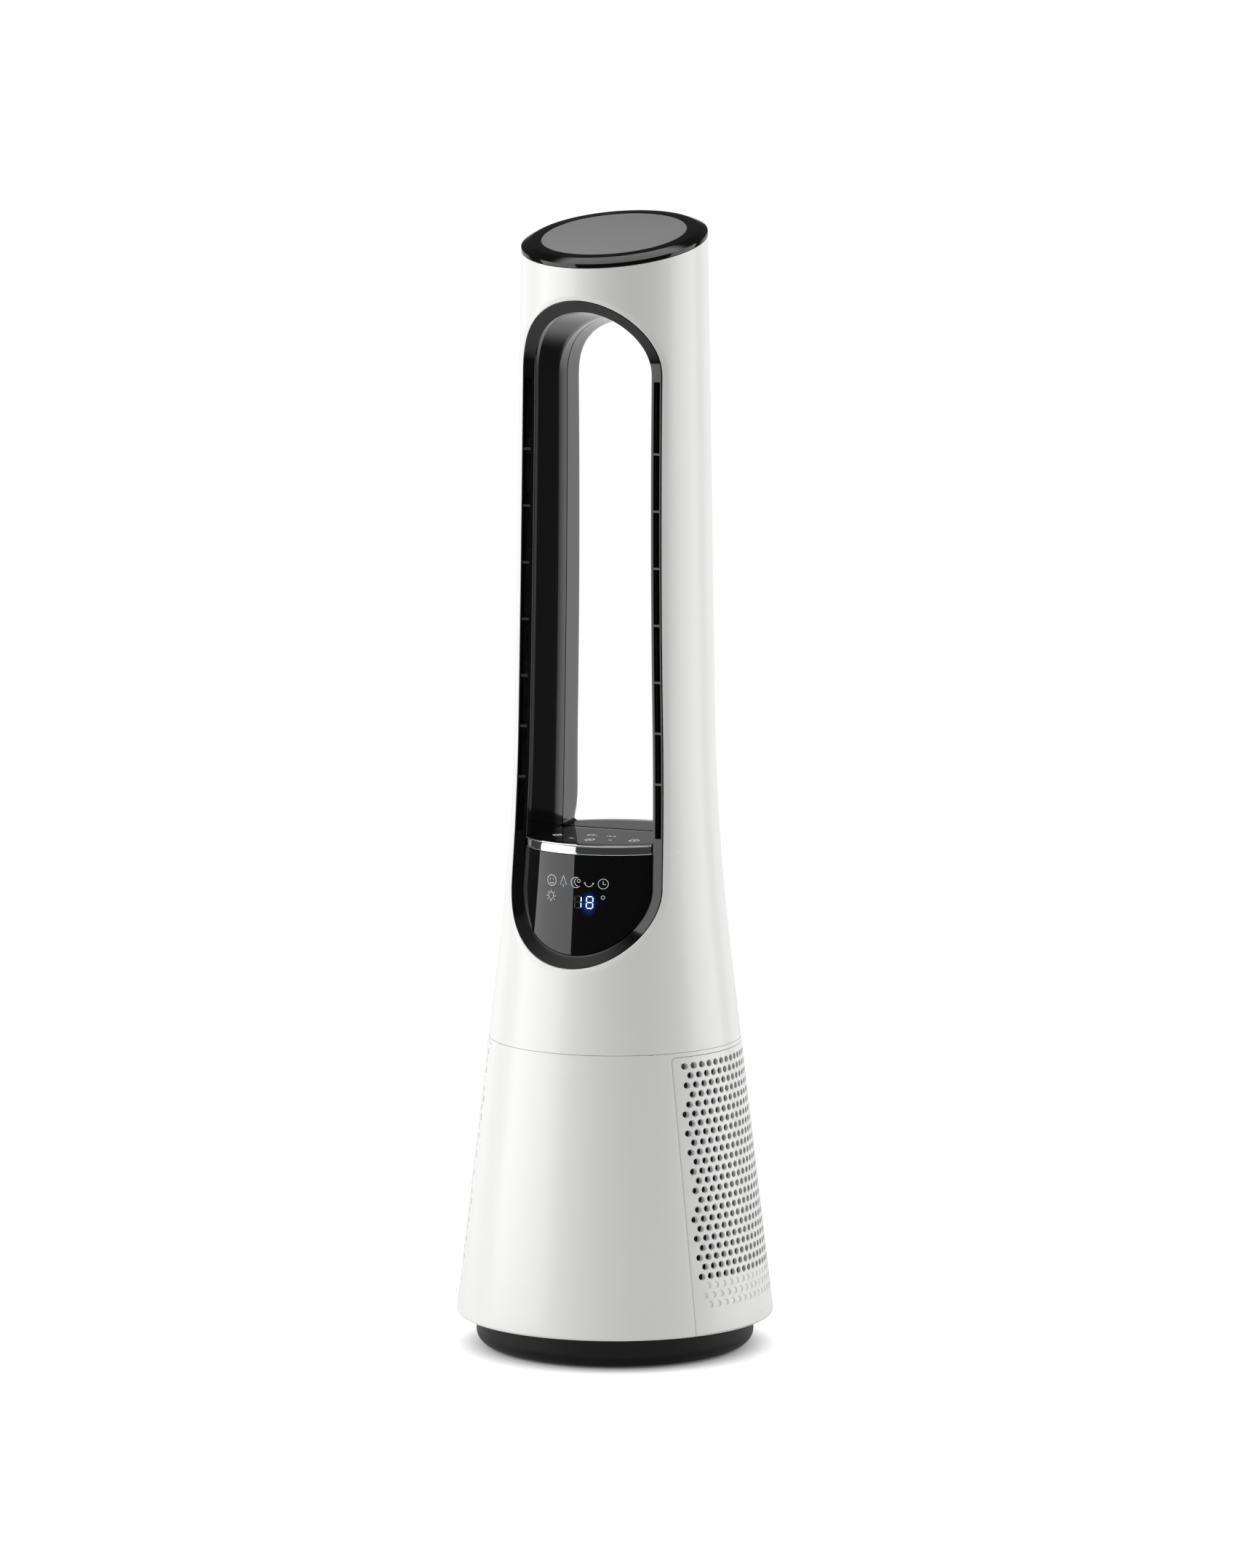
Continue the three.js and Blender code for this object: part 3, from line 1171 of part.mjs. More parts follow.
function rearBezel() {
  const flange = tunnelLoop(REAR_Y, REAR_FACE + RING_FLANGE, REAR_SILL + RING_FLANGE);
  const edge = rearEdgeLoop();
  const lip = tunnelLoop(REAR_Y, 0, 0);
  const lipBack = tunnelLoop(REAR_Y, LINER_WALL, LINER_WALL);
  const seam = tunnelLoop(SEAM_Y, 0, 0);
  const seamBack = tunnelLoop(SEAM_Y, LINER_WALL, LINER_WALL);
  const seamY = SEAM_Y + FIT / 2;
  const front = edge.map((point, i) => [
    onCasing(flange[i].x, flange[i].y, flangeDepth, 1), onCasing(point.x, point.y, flangeDepth, 1),
    onCasing(lip[i].x, lip[i].y, lipDepth(lip[i].y), 1), new THREE.Vector3(seam[i].x, seamY, seam[i].y),
  ]);
  const back = edge.map((point, i) => [
    onCasing(flange[i].x, flange[i].y, flangeDepth + LINER_WALL, 1),
    onCasing(point.x, point.y, flangeDepth + LINER_WALL, 1),
    onCasing(lipBack[i].x, lipBack[i].y, lipDepth(lip[i].y) + LINER_WALL, 1),
    new THREE.Vector3(seamBack[i].x, seamY, seamBack[i].y),
  ]);
  return skin(front, back, true);
}

function upperShell() {
  const lowZ = CASING_SEAM_Z + FIT / 2;
  const highZ = CROWN_Z + RIM_RADIUS * Math.tan(CROWN_TILT);
  const ledgeLowZ = frameTopZ + FIT;
  const ledge = revolve([
    [casingRadius(ledgeLowZ) - COLLAR_WIDTH, ledgeLowZ], [casingRadius(ledgeLowZ) - WALL / 2, ledgeLowZ],
    [casingRadius(ledgeLowZ) - WALL, ledgeLowZ + COLLAR_HEIGHT],
    [casingRadius(ledgeLowZ) - COLLAR_WIDTH, ledgeLowZ + COLLAR_HEIGHT],
  ]);
  let shell = casingSkin(0, WALL, lowZ, highZ).add(ledge);
  shell = shell.subtract(prism(frontOutline(0), 'y', -OPEN, 0));
  shell = shell.subtract(prism(rearEdgeLoop(), 'y', 0, OPEN));
  for (const toward of screwDirections) {
    const spot = toward.clone().multiplyScalar(FRAME_SCREW_CIRCLE);
    const pilot = rod(spot.x, spot.y, 0, screwTipZ + FIT, SCREW_RADIUS + FIT);
    shell = shell.subtract(pilot);
  }
  const above = block(-OPEN, OPEN, -OPEN, OPEN, 0, OPEN)
    .rotate([THREE.MathUtils.radToDeg(CROWN_TILT), 0, 0])
    .translate([0, 0, CROWN_Z]);
  return shell.subtract(above);
}

const shellScrewSeatZ = CASING_SEAM_Z - FIT / 2 - COLLAR_HEIGHT - FIT;
const shellScrewLength = COLLAR_HEIGHT + FRAME_THICKNESS + COLLAR_HEIGHT;
const screwTipZ = shellScrewSeatZ + shellScrewLength;

// ---- Shelf and display --------------------------------------------------------------------------

// What lies inside the nozzle ring at the front, drawn in from its throat
function insideRing(lowZ, highZ, clearance) {
  const outline = frontOutline(RING_WIDTH + clearance);
  return prism(outline, 'y', -OPEN, 0).intersect(block(-OPEN, OPEN, -OPEN, 0, lowZ, highZ));
}

const bandLowZ = SHELF_Z - BAND_HEIGHT;
const bandRadius = casingRadius(SHELF_Z) - BAND_RECESS;

function chromeBand() {
  const middle = SHELF_Z - BAND_HEIGHT / 2;
  const band = revolve([
    [bandRadius - BAND_WIDTH, bandLowZ], [bandRadius, bandLowZ], [bandRadius, bandLowZ + BAND_BEAD],
    [bandRadius - BAND_BEAD / 2, bandLowZ + 2 * BAND_BEAD], [bandRadius - BAND_BEAD, middle],
    [bandRadius - BAND_BEAD / 2, SHELF_Z - 2 * BAND_BEAD], [bandRadius, SHELF_Z - BAND_BEAD],
    [bandRadius, SHELF_Z], [bandRadius - BAND_WIDTH, SHELF_Z],
  ]);
  return band.intersect(insideRing(bandLowZ, SHELF_Z, CURVE_FIT));
}

// The flat plate outline of the shelf in X and Y, between its band and the seam behind
function shelfOutline(z) {
  const radius = bandRadius - BAND_WIDTH - CURVE_FIT;
  const half = (y) => openingHalfWidth(z) - RING_WIDTH + tunnelSpread(y) - CURVE_FIT;
  const reach = Math.asin(Math.min(half(MOUTH_Y) / radius, 1));
  const steps = 10;
  const arc = Array.from({ length: steps + 1 }, (_, i) => {
    const angle = reach * ((2 * i) / steps - 1);
    return new THREE.Vector2(radius * Math.sin(angle), -radius * Math.cos(angle));
  });
  const backY = SEAM_Y - FIT / 2;
  return [
    ...arc, new THREE.Vector2(half(CREASE_Y), CREASE_Y), new THREE.Vector2(half(backY), backY),
    new THREE.Vector2(-half(backY), backY), new THREE.Vector2(-half(CREASE_Y), CREASE_Y),
  ];
}

const glassTopZ = SHELF_Z - GLASS_SINK;
const glassLowZ = glassTopZ - GLASS_THICKNESS;
const trayTopZ = glassLowZ - FIT;
const trayLowZ = trayTopZ - TRAY_THICKNESS;

function touchGlass() {
  return prism(shelfOutline(SHELF_Z), 'z', glassLowZ, glassTopZ);
}

function shelfTray() {
  const plate = prism(shelfOutline(SHELF_Z), 'z', trayLowZ, trayTopZ);
  const half = TOUCH_BOARD_LENGTH / 2 + FIT;
  const low = TOUCH_BOARD_Y - TOUCH_BOARD_WIDTH / 2 - FIT;
  const high = TOUCH_BOARD_Y + TOUCH_BOARD_WIDTH / 2 + FIT;
  return plate.subtract(block(-half, half, low, high, trayTopZ - BOARD_THICKNESS - 2 * FIT, OPEN * 3));
}

function touchBoard() {
  const half = TOUCH_BOARD_LENGTH / 2;
  const low = trayTopZ - BOARD_THICKNESS - FIT;
  const middle = TOUCH_BOARD_WIDTH / 2;
  return block(-half, half, TOUCH_BOARD_Y - middle, TOUCH_BOARD_Y + middle, low, low + BOARD_THICKNESS);
}

function displayLens() {
  const layer = casingSkin(LENS_RECESS, LENS_RECESS + LENS_THICKNESS, FOOT_Z - FOOT_DEPTH, bandLowZ - FIT);
  return layer.intersect(insideRing(FOOT_Z - FOOT_DEPTH - 1, bandLowZ + 1, CURVE_FIT));
}

function displayMask() {
  const half = DISPLAY_BOARD_HALF_WIDTH;
  const backY = DISPLAY_BOARD_Y - BOARD_THICKNESS - FIT;
  const body = casingSkin(
    LENS_RECESS + LENS_THICKNESS + CURVE_FIT, casingRadius(FOOT_Z), DISPLAY_BOARD_LOW_Z, DISPLAY_BOARD_TOP_Z,
  ).intersect(block(-half, half, -OPEN, backY, 0, 3 * OPEN));
  const inset = DISPLAY_WINDOW_BORDER;
  const window = block(
    inset - half, half - inset, -OPEN, 0, DISPLAY_BOARD_LOW_Z + inset, DISPLAY_BOARD_TOP_Z - inset,
  );
  return body.subtract(window);
}

function displayBoard() {
  const half = DISPLAY_BOARD_HALF_WIDTH;
  const frontY = DISPLAY_BOARD_Y - BOARD_THICKNESS;
  return block(-half, half, frontY, DISPLAY_BOARD_Y, DISPLAY_BOARD_LOW_Z, DISPLAY_BOARD_TOP_Z);
}

// A wedge under the shelf that parts the rising air to the two sides of the loop
function airGuide() {
  const topZ = trayLowZ - FIT;
  const wedge = [
    new THREE.Vector2(-GUIDE_HALF_WIDTH, topZ), new THREE.Vector2(0, GUIDE_TIP_Z),
    new THREE.Vector2(GUIDE_HALF_WIDTH, topZ),
  ];
  const body = prism(wedge, 'y', DISPLAY_BOARD_Y + FIT, OPEN);
  return body.intersect(disc(GUIDE_RADIUS, 0, 3 * OPEN));
}

// ---- Cap ----------------------------------------------------------------------------------------

// Turned pieces of the cap are stretched along the slope, because the cut column is an ellipse there
function ontoCrown(made) {
  return made
    .scale([1, 1 / Math.cos(CROWN_TILT), 1])
    .rotate([THREE.MathUtils.radToDeg(CROWN_TILT), 0, 0])
    .translate([0, 0, CROWN_Z]);
}

const capRadius = casingRadius(CROWN_Z);
const capTop = CAP_BAND + CAP_BEVEL_HEIGHT;
const capGlassRadius = capRadius - CAP_BEVEL_WIDTH - CAP_FLAT;

function topCap() {
  const skirt = capRadius - WALL - CAP_SKIRT_CLEARANCE;
  const floorZ = capTop - CAP_GLASS_DEPTH - FIT;
  return ontoCrown(revolve([
    [0, floorZ - CAP_FLOOR], [skirt - CAP_SKIRT_WALL, floorZ - CAP_FLOOR],
    [skirt - CAP_SKIRT_WALL, -CAP_SKIRT],
    [skirt, -CAP_SKIRT], [skirt, FIT], [capRadius, FIT], [capRadius, CAP_BAND],
    [capRadius - CAP_BEVEL_WIDTH, capTop], [capGlassRadius, capTop], [capGlassRadius, floorZ], [0, floorZ],
  ]));
}

function capGlass() {
  return ontoCrown(disc(capGlassRadius - FIT, capTop - CAP_GLASS_DEPTH, capTop));
}

// ---- Assembly -----------------------------------------------------------------------------------

// Fixed base
const base = addGroup('standing_base', fan);
addPiece(base, 'base_plinth', basePlinth(), BLACK_SATIN);
padSpots.forEach((spot, i) => {
  addPiece(base, `foot_pad_${i + 1}`, rod(spot.x, spot.y, 0, PAD_HEIGHT, PAD_RADIUS, PAD_FACETS), RUBBER);
});
addPiece(base, 'ballast_plate', ballastPlate(), STEEL);
ballastScrewSpots.forEach((spot, i) => {
  const made = screw(spot, ballastTopZ + FIT, BALLAST_THICKNESS + FIT * 2 + BALLAST_SCREW_GRIP);
  addPiece(base, `ballast_screw_${i + 1}`, made, STEEL);
});
addPiece(base, 'slide_ring', slideRing(), PALE_PLASTIC);
addPiece(base, 'pivot_post', pivotPost(), GREY_PLASTIC);
addPiece(base, 'sun_gear', sunGear(), PALE_PLASTIC);
addPiece(base, 'lock_ring', lockRing(), GREY_PLASTIC);
addPiece(base, 'power_inlet', powerInlet(), BLACK_SATIN);
addPiece(base, 'inlet_pin_left', inletPin(-1), STEEL);
addPiece(base, 'inlet_pin_right', inletPin(1), STEEL);

// Swinging tower: drive, floor and lower casing
const tower = addGroup('swinging_tower', fan);
addPiece(tower, 'turntable', turntable(), GREY_PLASTIC);
addPiece(tower, 'swing_motor', swingMotor(), STEEL);
addPiece(tower, 'drive_pinion', drivePinion(), PALE_PLASTIC);
addPiece(tower, 'power_board', powerBoard(), BOARD_GREEN);
addPiece(tower, 'lower_casing', lowerCasing(), WHITE_SATIN);
screwDirections.forEach((toward, i) => {
  const spot = toward.clone().multiplyScalar(CASING_BOSS_CIRCLE);
  const made = screw(spot, turntableLowZ + SCREW_HEAD_HEIGHT, CASING_BOSS_HEIGHT * 0.8, true);
  addPiece(tower, `turntable_screw_${i + 1}`, made, STEEL);
});
for (const [side, place] of [['right', (made) => made], ['left', mirrored]]) {
  addPiece(tower, `grille_cover_${side}`, place(grilleCover()), WHITE_SATIN);
  addPiece(tower, `filter_frame_${side}`, place(filterFrame()), GREY_PLASTIC);
  addPiece(tower, `filter_media_${side}`, place(filterMedia()), FILTER_CLOTH);
  addPiece(tower, `vent_grille_${side}`, place(ventGrille()), BLACK_SATIN);
}

// Fan unit
const fanUnit = addGroup('fan_unit', tower);
addPiece(fanUnit, 'mid_frame', midFrame(), GREY_PLASTIC);
addPiece(fanUnit, 'damper_ring', damperRing(), RUBBER);
addPiece(fanUnit, 'fan_housing', fanHousing(), GREY_PLASTIC);
addPiece(fanUnit, 'impeller', impeller(), PALE_PLASTIC);
addPiece(fanUnit, 'impeller_nut', impellerNut(), STEEL);
addPiece(fanUnit, 'motor_shaft', motorShaft(), STEEL);
addPiece(fanUnit, 'stator', stator(), GREY_PLASTIC);
addPiece(fanUnit, 'fan_motor', fanMotor(), STEEL);
addPiece(fanUnit, 'tail_cone', tailCone(), GREY_PLASTIC);

// Upper casing, loop and controls
const loop = addGroup('upper_loop', tower);
addPiece(loop, 'upper_shell', upperShell(), WHITE_SATIN);
screwDirections.forEach((toward, i) => {
  const spot = toward.clone().multiplyScalar(FRAME_SCREW_CIRCLE);
  addPiece(loop, `shell_screw_${i + 1}`, screw(spot, shellScrewSeatZ, shellScrewLength, true), STEEL);
});
addPiece(loop, 'nozzle_ring', nozzleRing(), BLACK_GLOSS);
addPiece(loop, 'tunnel_liner', tunnelLiner(), BLACK_GLOSS);
addPiece(loop, 'rear_bezel', rearBezel(), BLACK_GLOSS);
addPiece(loop, 'chrome_band', chromeBand(), CHROME);
addPiece(loop, 'touch_glass', touchGlass(), CLEAR_BLACK);
addPiece(loop, 'touch_board', touchBoard(), BOARD_GREEN);
addPiece(loop, 'shelf_tray', shelfTray(), BLACK_SATIN);
addPiece(loop, 'display_lens', displayLens(), CLEAR_BLACK);
addPiece(loop, 'display_mask', displayMask(), BLACK_SATIN);
addPiece(loop, 'display_board', displayBoard(), BOARD_GREEN);
addPiece(loop, 'air_guide', airGuide(), GREY_PLASTIC);
addPiece(loop, 'top_cap', topCap(), BLACK_GLOSS);
addPiece(loop, 'cap_glass', capGlass(), SMOKED_GLASS);

export default fan;
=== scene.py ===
"""Looks of a bladeless tower fan: a white tapering casing with a tall loop through it, on a round black
base that it swings on.

Sizes are in millimetres. The origin is on the floor under the middle of the base, the fan faces -Y and
+X is to the right of someone who looks at its front. Points become metres when a mesh is made.
"""

import json
import math

import bmesh
import bpy
import numpy as np
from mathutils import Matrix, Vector
from mathutils.geometry import delaunay_2d_cdt

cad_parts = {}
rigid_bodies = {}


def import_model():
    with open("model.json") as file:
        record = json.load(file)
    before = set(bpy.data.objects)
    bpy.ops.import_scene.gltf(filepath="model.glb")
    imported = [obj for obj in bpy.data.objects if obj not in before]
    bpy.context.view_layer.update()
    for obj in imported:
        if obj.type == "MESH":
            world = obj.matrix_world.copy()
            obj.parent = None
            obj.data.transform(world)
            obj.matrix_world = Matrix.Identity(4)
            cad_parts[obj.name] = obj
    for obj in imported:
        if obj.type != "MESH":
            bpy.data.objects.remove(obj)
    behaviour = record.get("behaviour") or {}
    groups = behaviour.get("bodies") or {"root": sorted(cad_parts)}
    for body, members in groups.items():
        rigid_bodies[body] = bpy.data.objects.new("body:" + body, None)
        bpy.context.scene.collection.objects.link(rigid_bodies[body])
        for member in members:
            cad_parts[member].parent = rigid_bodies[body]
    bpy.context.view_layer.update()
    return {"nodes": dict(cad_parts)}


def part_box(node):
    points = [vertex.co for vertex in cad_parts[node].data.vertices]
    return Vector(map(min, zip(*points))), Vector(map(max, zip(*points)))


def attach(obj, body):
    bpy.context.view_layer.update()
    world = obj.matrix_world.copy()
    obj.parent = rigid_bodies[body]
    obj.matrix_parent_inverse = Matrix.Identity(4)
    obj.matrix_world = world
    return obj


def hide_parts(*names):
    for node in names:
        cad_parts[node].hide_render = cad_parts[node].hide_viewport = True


for leftover in list(bpy.data.objects):
    bpy.data.objects.remove(leftover)

# ---- Camera --------------------------------------------------------------------------------------
# A long lens a little above the fan and to the right of its front, as far away as the flattened
# circles of the rim and the cap say. Its long side is the height of the picture.

camera = bpy.data.objects.new("camera", bpy.data.cameras.new("camera"))
camera.data.lens = 192.02
camera.data.sensor_width = 36
camera.location = (2.7471, -6.1449, 1.4152)
camera.rotation_euler = [math.radians(turn) for turn in (81.94, 0, 24)]
bpy.context.scene.collection.objects.link(camera)
bpy.context.scene.camera = camera

# ---- Studio --------------------------------------------------------------------------------------
# One tall soft light to the left of the front and a narrower one behind the right side. The room is
# white to the eye and fills the shadows from behind. Glossy black parts mirror a white sheet behind
# the fan and a soft light over it, and the dark beyond them.

LIGHT_FOOT = 0.2
SHEET_DIRECTION = (-0.407, 0.914, 0)
GLOOM = 0.05

scene = bpy.context.scene
scene.view_settings.view_transform = "Standard"


def soft_light(name, turn, distance, width, height, radiance):
    """An upright rectangle of light that faces the fan from an angle, its foot a little under the floor."""
    lamp = bpy.data.lights.new(name, "AREA")
    lamp.shape = "RECTANGLE"
    lamp.size = width
    lamp.size_y = height
    lamp.energy = radiance * math.pi * width * height
    light = bpy.data.objects.new(name, lamp)
    angle = math.radians(turn)
    light.location = (distance * math.sin(angle), -distance * math.cos(angle), height / 2 - LIGHT_FOOT)
    light.rotation_euler = (math.pi / 2, 0, angle)
    light.visible_camera = False
    scene.collection.objects.link(light)


def add_node(nodes, kind, values=(), **settings):
    """A shader node of a kind with its settings, and fixed values for its inputs by name or number."""
    node = nodes.new(f"ShaderNode{kind}")
    for name, setting in settings.items():
        setattr(node, name, setting)
    for socket, value in dict(values).items():
        node.inputs[socket].default_value = value
    return node


def smooth_range(nodes, low, high, at_low=0, at_high=1, curve="SMOOTHSTEP"):
    """A node that turns values from low to high into values from at_low to at_high along a soft curve."""
    values = {"From Min": low, "From Max": high, "To Min": at_low, "To Max": at_high}
    return add_node(nodes, "MapRange", values, interpolation_type=curve)


def wire(links, *joins):
    """Links between nodes, each given as (node, output, node, input)."""
    for source, output, target, socket in joins:
        links.new(source.outputs[output], target.inputs[socket])


soft_light("left_light", -52, 2.0, 2.0, 3.0, 2.5)
soft_light("right_light", 118, 1.8, 1.4, 2.2, 2.0)

room = bpy.data.worlds.new("room")
scene.world = room
room.use_nodes = True
nodes, links = room.node_tree.nodes, room.node_tree.links
place, split, seen, lit_by = [add_node(nodes, kind) for kind in ("TexCoord", "SeparateXYZ", "LightPath", "Mix")]
fill = smooth_range(nodes, -0.1, 0.25, 0.32, 0.72)
towards_sheet = add_node(nodes, "VectorMath", {1: SHEET_DIRECTION}, operation="DOT_PRODUCT")
sheet = smooth_range(nodes, 0.6, 0.74)
sheet_top = smooth_range(nodes, -0.05, 0.25, 0.82, 0.06)
overhead = smooth_range(nodes, 0.78, 0.88, 0, 2.2)
over_back = smooth_range(nodes, -0.3, 0.08, 0.12, 1)
sheet_light = add_node(nodes, "Math", operation="MULTIPLY")
over_light = add_node(nodes, "Math", operation="MULTIPLY")
mirrored = add_node(nodes, "Math", operation="ADD")
gloom = add_node(nodes, "Math", {1: GLOOM}, operation="MAXIMUM")
level = add_node(nodes, "Math", operation="MAXIMUM")
wire(
    links, (place, "Generated", split, 0), (split, "Y", fill, "Value"), (place, "Generated", towards_sheet, 0),
    (towards_sheet, "Value", sheet, "Value"), (split, "Z", sheet_top, "Value"), (split, "Z", overhead, "Value"),
    (split, "Y", over_back, "Value"), (sheet, "Result", sheet_light, 0), (sheet_top, "Result", sheet_light, 1),
    (overhead, "Result", over_light, 0), (over_back, "Result", over_light, 1), (sheet_light, 0, mirrored, 0),
    (over_light, 0, mirrored, 1), (mirrored, 0, gloom, 0), (seen, "Is Glossy Ray", lit_by, "Factor"),
    (fill, "Result", lit_by, "A"), (gloom, 0, lit_by, "B"), (lit_by, "Result", level, 0),
    (seen, "Is Camera Ray", level, 1), (level, 0, nodes["Background"], "Strength"),
)
nodes["Background"].inputs["Color"].default_value = (1, 1, 1, 1)

# White floor: the camera sees it as bright as the room but for the fan's own shadow. Close round the base
# its glow is taken away, which paints a ring of shade there, and it fades into the room well away from the fan.
FLOOR_REACH = 6.0
bpy.ops.mesh.primitive_plane_add(size=2 * FLOOR_REACH)
floor = bpy.context.object
floor.name = "floor"
paper = bpy.data.materials.new("white_floor")
paper.use_nodes = True
nodes, links = paper.node_tree.nodes, paper.node_tree.links
nodes.clear()
place, glow, seen, both, clear, edge, out = [add_node(nodes, kind) for kind in (
    "TexCoord", "Emission", "LightPath", "AddShader", "BsdfTransparent", "MixShader", "OutputMaterial",
)]
away = add_node(nodes, "VectorMath", operation="LENGTH")
fade = smooth_range(nodes, 0.5, 1.6)
# the floor's own glow, nearly gone up to 98 mm from the middle of the base and back in full at 138 mm: a
# painted ring of shade round the base
glow_past_painted_shade = smooth_range(nodes, 0.098, 0.138, 0.03, 0.62)
lift = add_node(nodes, "Math", operation="MULTIPLY")
matt = add_node(nodes, "BsdfDiffuse", {"Color": (0.85, 0.85, 0.85, 1)})
wire(
    links, (place, "Object", away, 0), (away, "Value", fade, "Value"), (away, "Value", glow_past_painted_shade, "Value"),
    (seen, "Is Camera Ray", lift, 0), (glow_past_painted_shade, "Result", lift, 1), (lift, 0, glow, "Strength"),
    (matt, 0, both, 0), (glow, 0, both, 1), (fade, "Result", edge, 0), (both, 0, edge, 1),
    (clear, 0, edge, 2), (edge, 0, out, "Surface"),
)
floor.data.materials.append(paper)

# ---- The CAD part --------------------------------------------------------------------------------

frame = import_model()

# ---- Upper casing --------------------------------------------------------------------------------
# The white upper casing is one moulding in satin ABS, a cone below and a nearly straight column
# above, with a tall opening in front and a smaller one behind. The edge of the front opening is
# rolled in softly. Four screws under the seam hold it to the fan frame.

RIM_RADIUS = 130
RIM_Z = 27
CONE_TAPER = 0.1185
COLUMN_TAPER = 0.016
WAIST_Z = 424.6
WAIST_BLEND = 95
WALL = 2.6
FIT = 0.3
SEAM_Z = 255.6
CROWN_Z = 903
CROWN_TILT = math.radians(12)
SHELF_Z = 422.6
ARCH_Z = 800
ARCH_RADIUS = 61.3
FOOT_Z = 385.5
FOOT_HALF_WIDTH = 66.8
FOOT_DEPTH = 62
SLOT_LOW_Z = 427.5
SLOT_HIGH_Z = 795.5
RING_WIDTH = 9.8
MOUTH_Y = -46
CREASE_Y = 1
SEAM_Y = 18
REAR_Y = 50
PINCH = 1.5
SWELL = 0.5
REAR_FLARE = 2.2
APEX_DROP = 18
ARCH_SQUARING = 1.2
APEX_Z = 851.5
APEX_FRONT_Y = -58
APEX_BACK_Y = 66
REAR_FACE = 4
REAR_SILL = 9
REAR_CORNER = 3
ROUND_STEPS = 48
SIDE_Z = np.concatenate([[FOOT_Z], np.linspace(SLOT_LOW_Z, SLOT_HIGH_Z, 40)])


def casing_radius(z):
    """Radius of the casing at a height: a cone whose slope eases into the column's over the waist."""
    low = np.minimum(z, WAIST_Z + WAIST_BLEND)
    eased = np.maximum(low - (WAIST_Z - WAIST_BLEND), 0)
    cone = RIM_RADIUS - CONE_TAPER * (low - RIM_Z) + (CONE_TAPER - COLUMN_TAPER) * eased**2 / (4 * WAIST_BLEND)
    return cone - COLUMN_TAPER * (z - low)


def on_casing(x, z, depth, side):
    """Points straight behind (x, z) on a surface that lies depth under the casing: y = side sqrt(r^2 - x^2)."""
    radius = casing_radius(z) - depth
    return np.stack([x, side * np.sqrt(radius**2 - x**2), z + 0 * x], -1)


def round_casing(turn, z, depth, side):
    """Points at an angle from the front (side -1) or the back (1), depth under the casing."""
    radius = casing_radius(z) - depth
    return np.stack([radius * np.sin(turn), side * radius * np.cos(turn), z + 0 * turn], -1)


def opening_half_width(z):
    """Half the width of the front opening beside its straight part: it spreads with the square of the drop."""
    return ARCH_RADIUS + (FOOT_HALF_WIDTH - ARCH_RADIUS) * ((ARCH_Z - z) / (ARCH_Z - FOOT_Z)) ** 2


def front_opening(inset):
    """The front opening as a closed run of (x, z): foot to the right, right side up, arch, left side down."""
    share = np.arange(ROUND_STEPS) / ROUND_STEPS
    foot = math.pi * (1 + share)
    arch = math.pi * share
    half = opening_half_width(SIDE_Z) - inset
    x = np.concatenate([
        (FOOT_HALF_WIDTH - inset) * np.cos(foot), half, (ARCH_RADIUS - inset) * np.cos(arch), -half[::-1],
    ])
    z = np.concatenate([
        FOOT_Z + (FOOT_DEPTH - inset) * np.sin(foot), SIDE_Z, ARCH_Z + (ARCH_RADIUS - inset) * np.sin(arch),
        SIDE_Z[::-1],
    ])
    return np.append(x, x[0]), np.append(z, z[0])


def tunnel_spread(y):
    """How much wider than the ring the tunnel is: it narrows to the crease, swells with the square of the
    depth behind it up to the seam, and flares in a straight line from there."""
    forward = -PINCH * np.clip((y - MOUTH_Y) / (CREASE_Y - MOUTH_Y), 0, 1)
    swell = SWELL * np.clip((y - CREASE_Y) / (SEAM_Y - CREASE_Y), 0, 1) ** 2
    back = (PINCH - SWELL + REAR_FLARE) * np.clip((y - SEAM_Y) / (REAR_Y - SEAM_Y), 0, 1)
    return forward + swell + back


def tunnel_apex(y):
    """Height of the top of the tunnel, which comes down towards the back in a straight line."""
    return APEX_Z - APEX_DROP * np.clip((y - APEX_FRONT_Y) / (APEX_BACK_Y - APEX_FRONT_Y), 0, 1)


def tunnel_arch(radius, centre_z, y, turn):
    """The tunnel's arch as (x, z): a half circle in front of the crease, and behind it a superellipse,
    whose power grows with the depth, so that its shoulders are fuller at the back."""
    power = 2 / (2 + ARCH_SQUARING * np.clip((y - CREASE_Y) / (REAR_Y - CREASE_Y), 0, 1))
    across = np.sign(np.cos(turn)) * np.abs(np.cos(turn)) ** power
    return radius * across, centre_z + radius * np.abs(np.sin(turn)) ** power


def tunnel_loop(y, out, drop, corner):
    """The tunnel at a depth y, made larger by out, with its floor drop under the shelf: (x, z) as above."""
    spread = tunnel_spread(y)
    radius = ARCH_RADIUS - RING_WIDTH + spread + out
    centre_z = tunnel_apex(y) - radius + out
    low = SHELF_Z - drop

    def half(height):
        return opening_half_width(height) - RING_WIDTH + spread + out

    turn = math.pi / 2 * np.linspace(0, 1, ROUND_STEPS // 4, endpoint=False)
    run = half(low + corner) - corner
    flat = np.linspace(-run, run, ROUND_STEPS // 2, endpoint=False)
    side = np.linspace(low + corner, centre_z, len(SIDE_Z))
    arch_x, arch_z = tunnel_arch(radius, centre_z, y, np.linspace(0, math.pi, ROUND_STEPS, endpoint=False))
    x = np.concatenate([
        -run - corner * np.cos(turn), flat, run + corner * np.sin(turn), half(side), arch_x, -half(side[::-1]),
    ])
    z = np.concatenate([
        low + corner - corner * np.sin(turn), low + 0 * flat, low + corner - corner * np.cos(turn),
        side, arch_z, side[::-1],
    ])
    return np.append(x, x[0]), np.append(z, z[0])


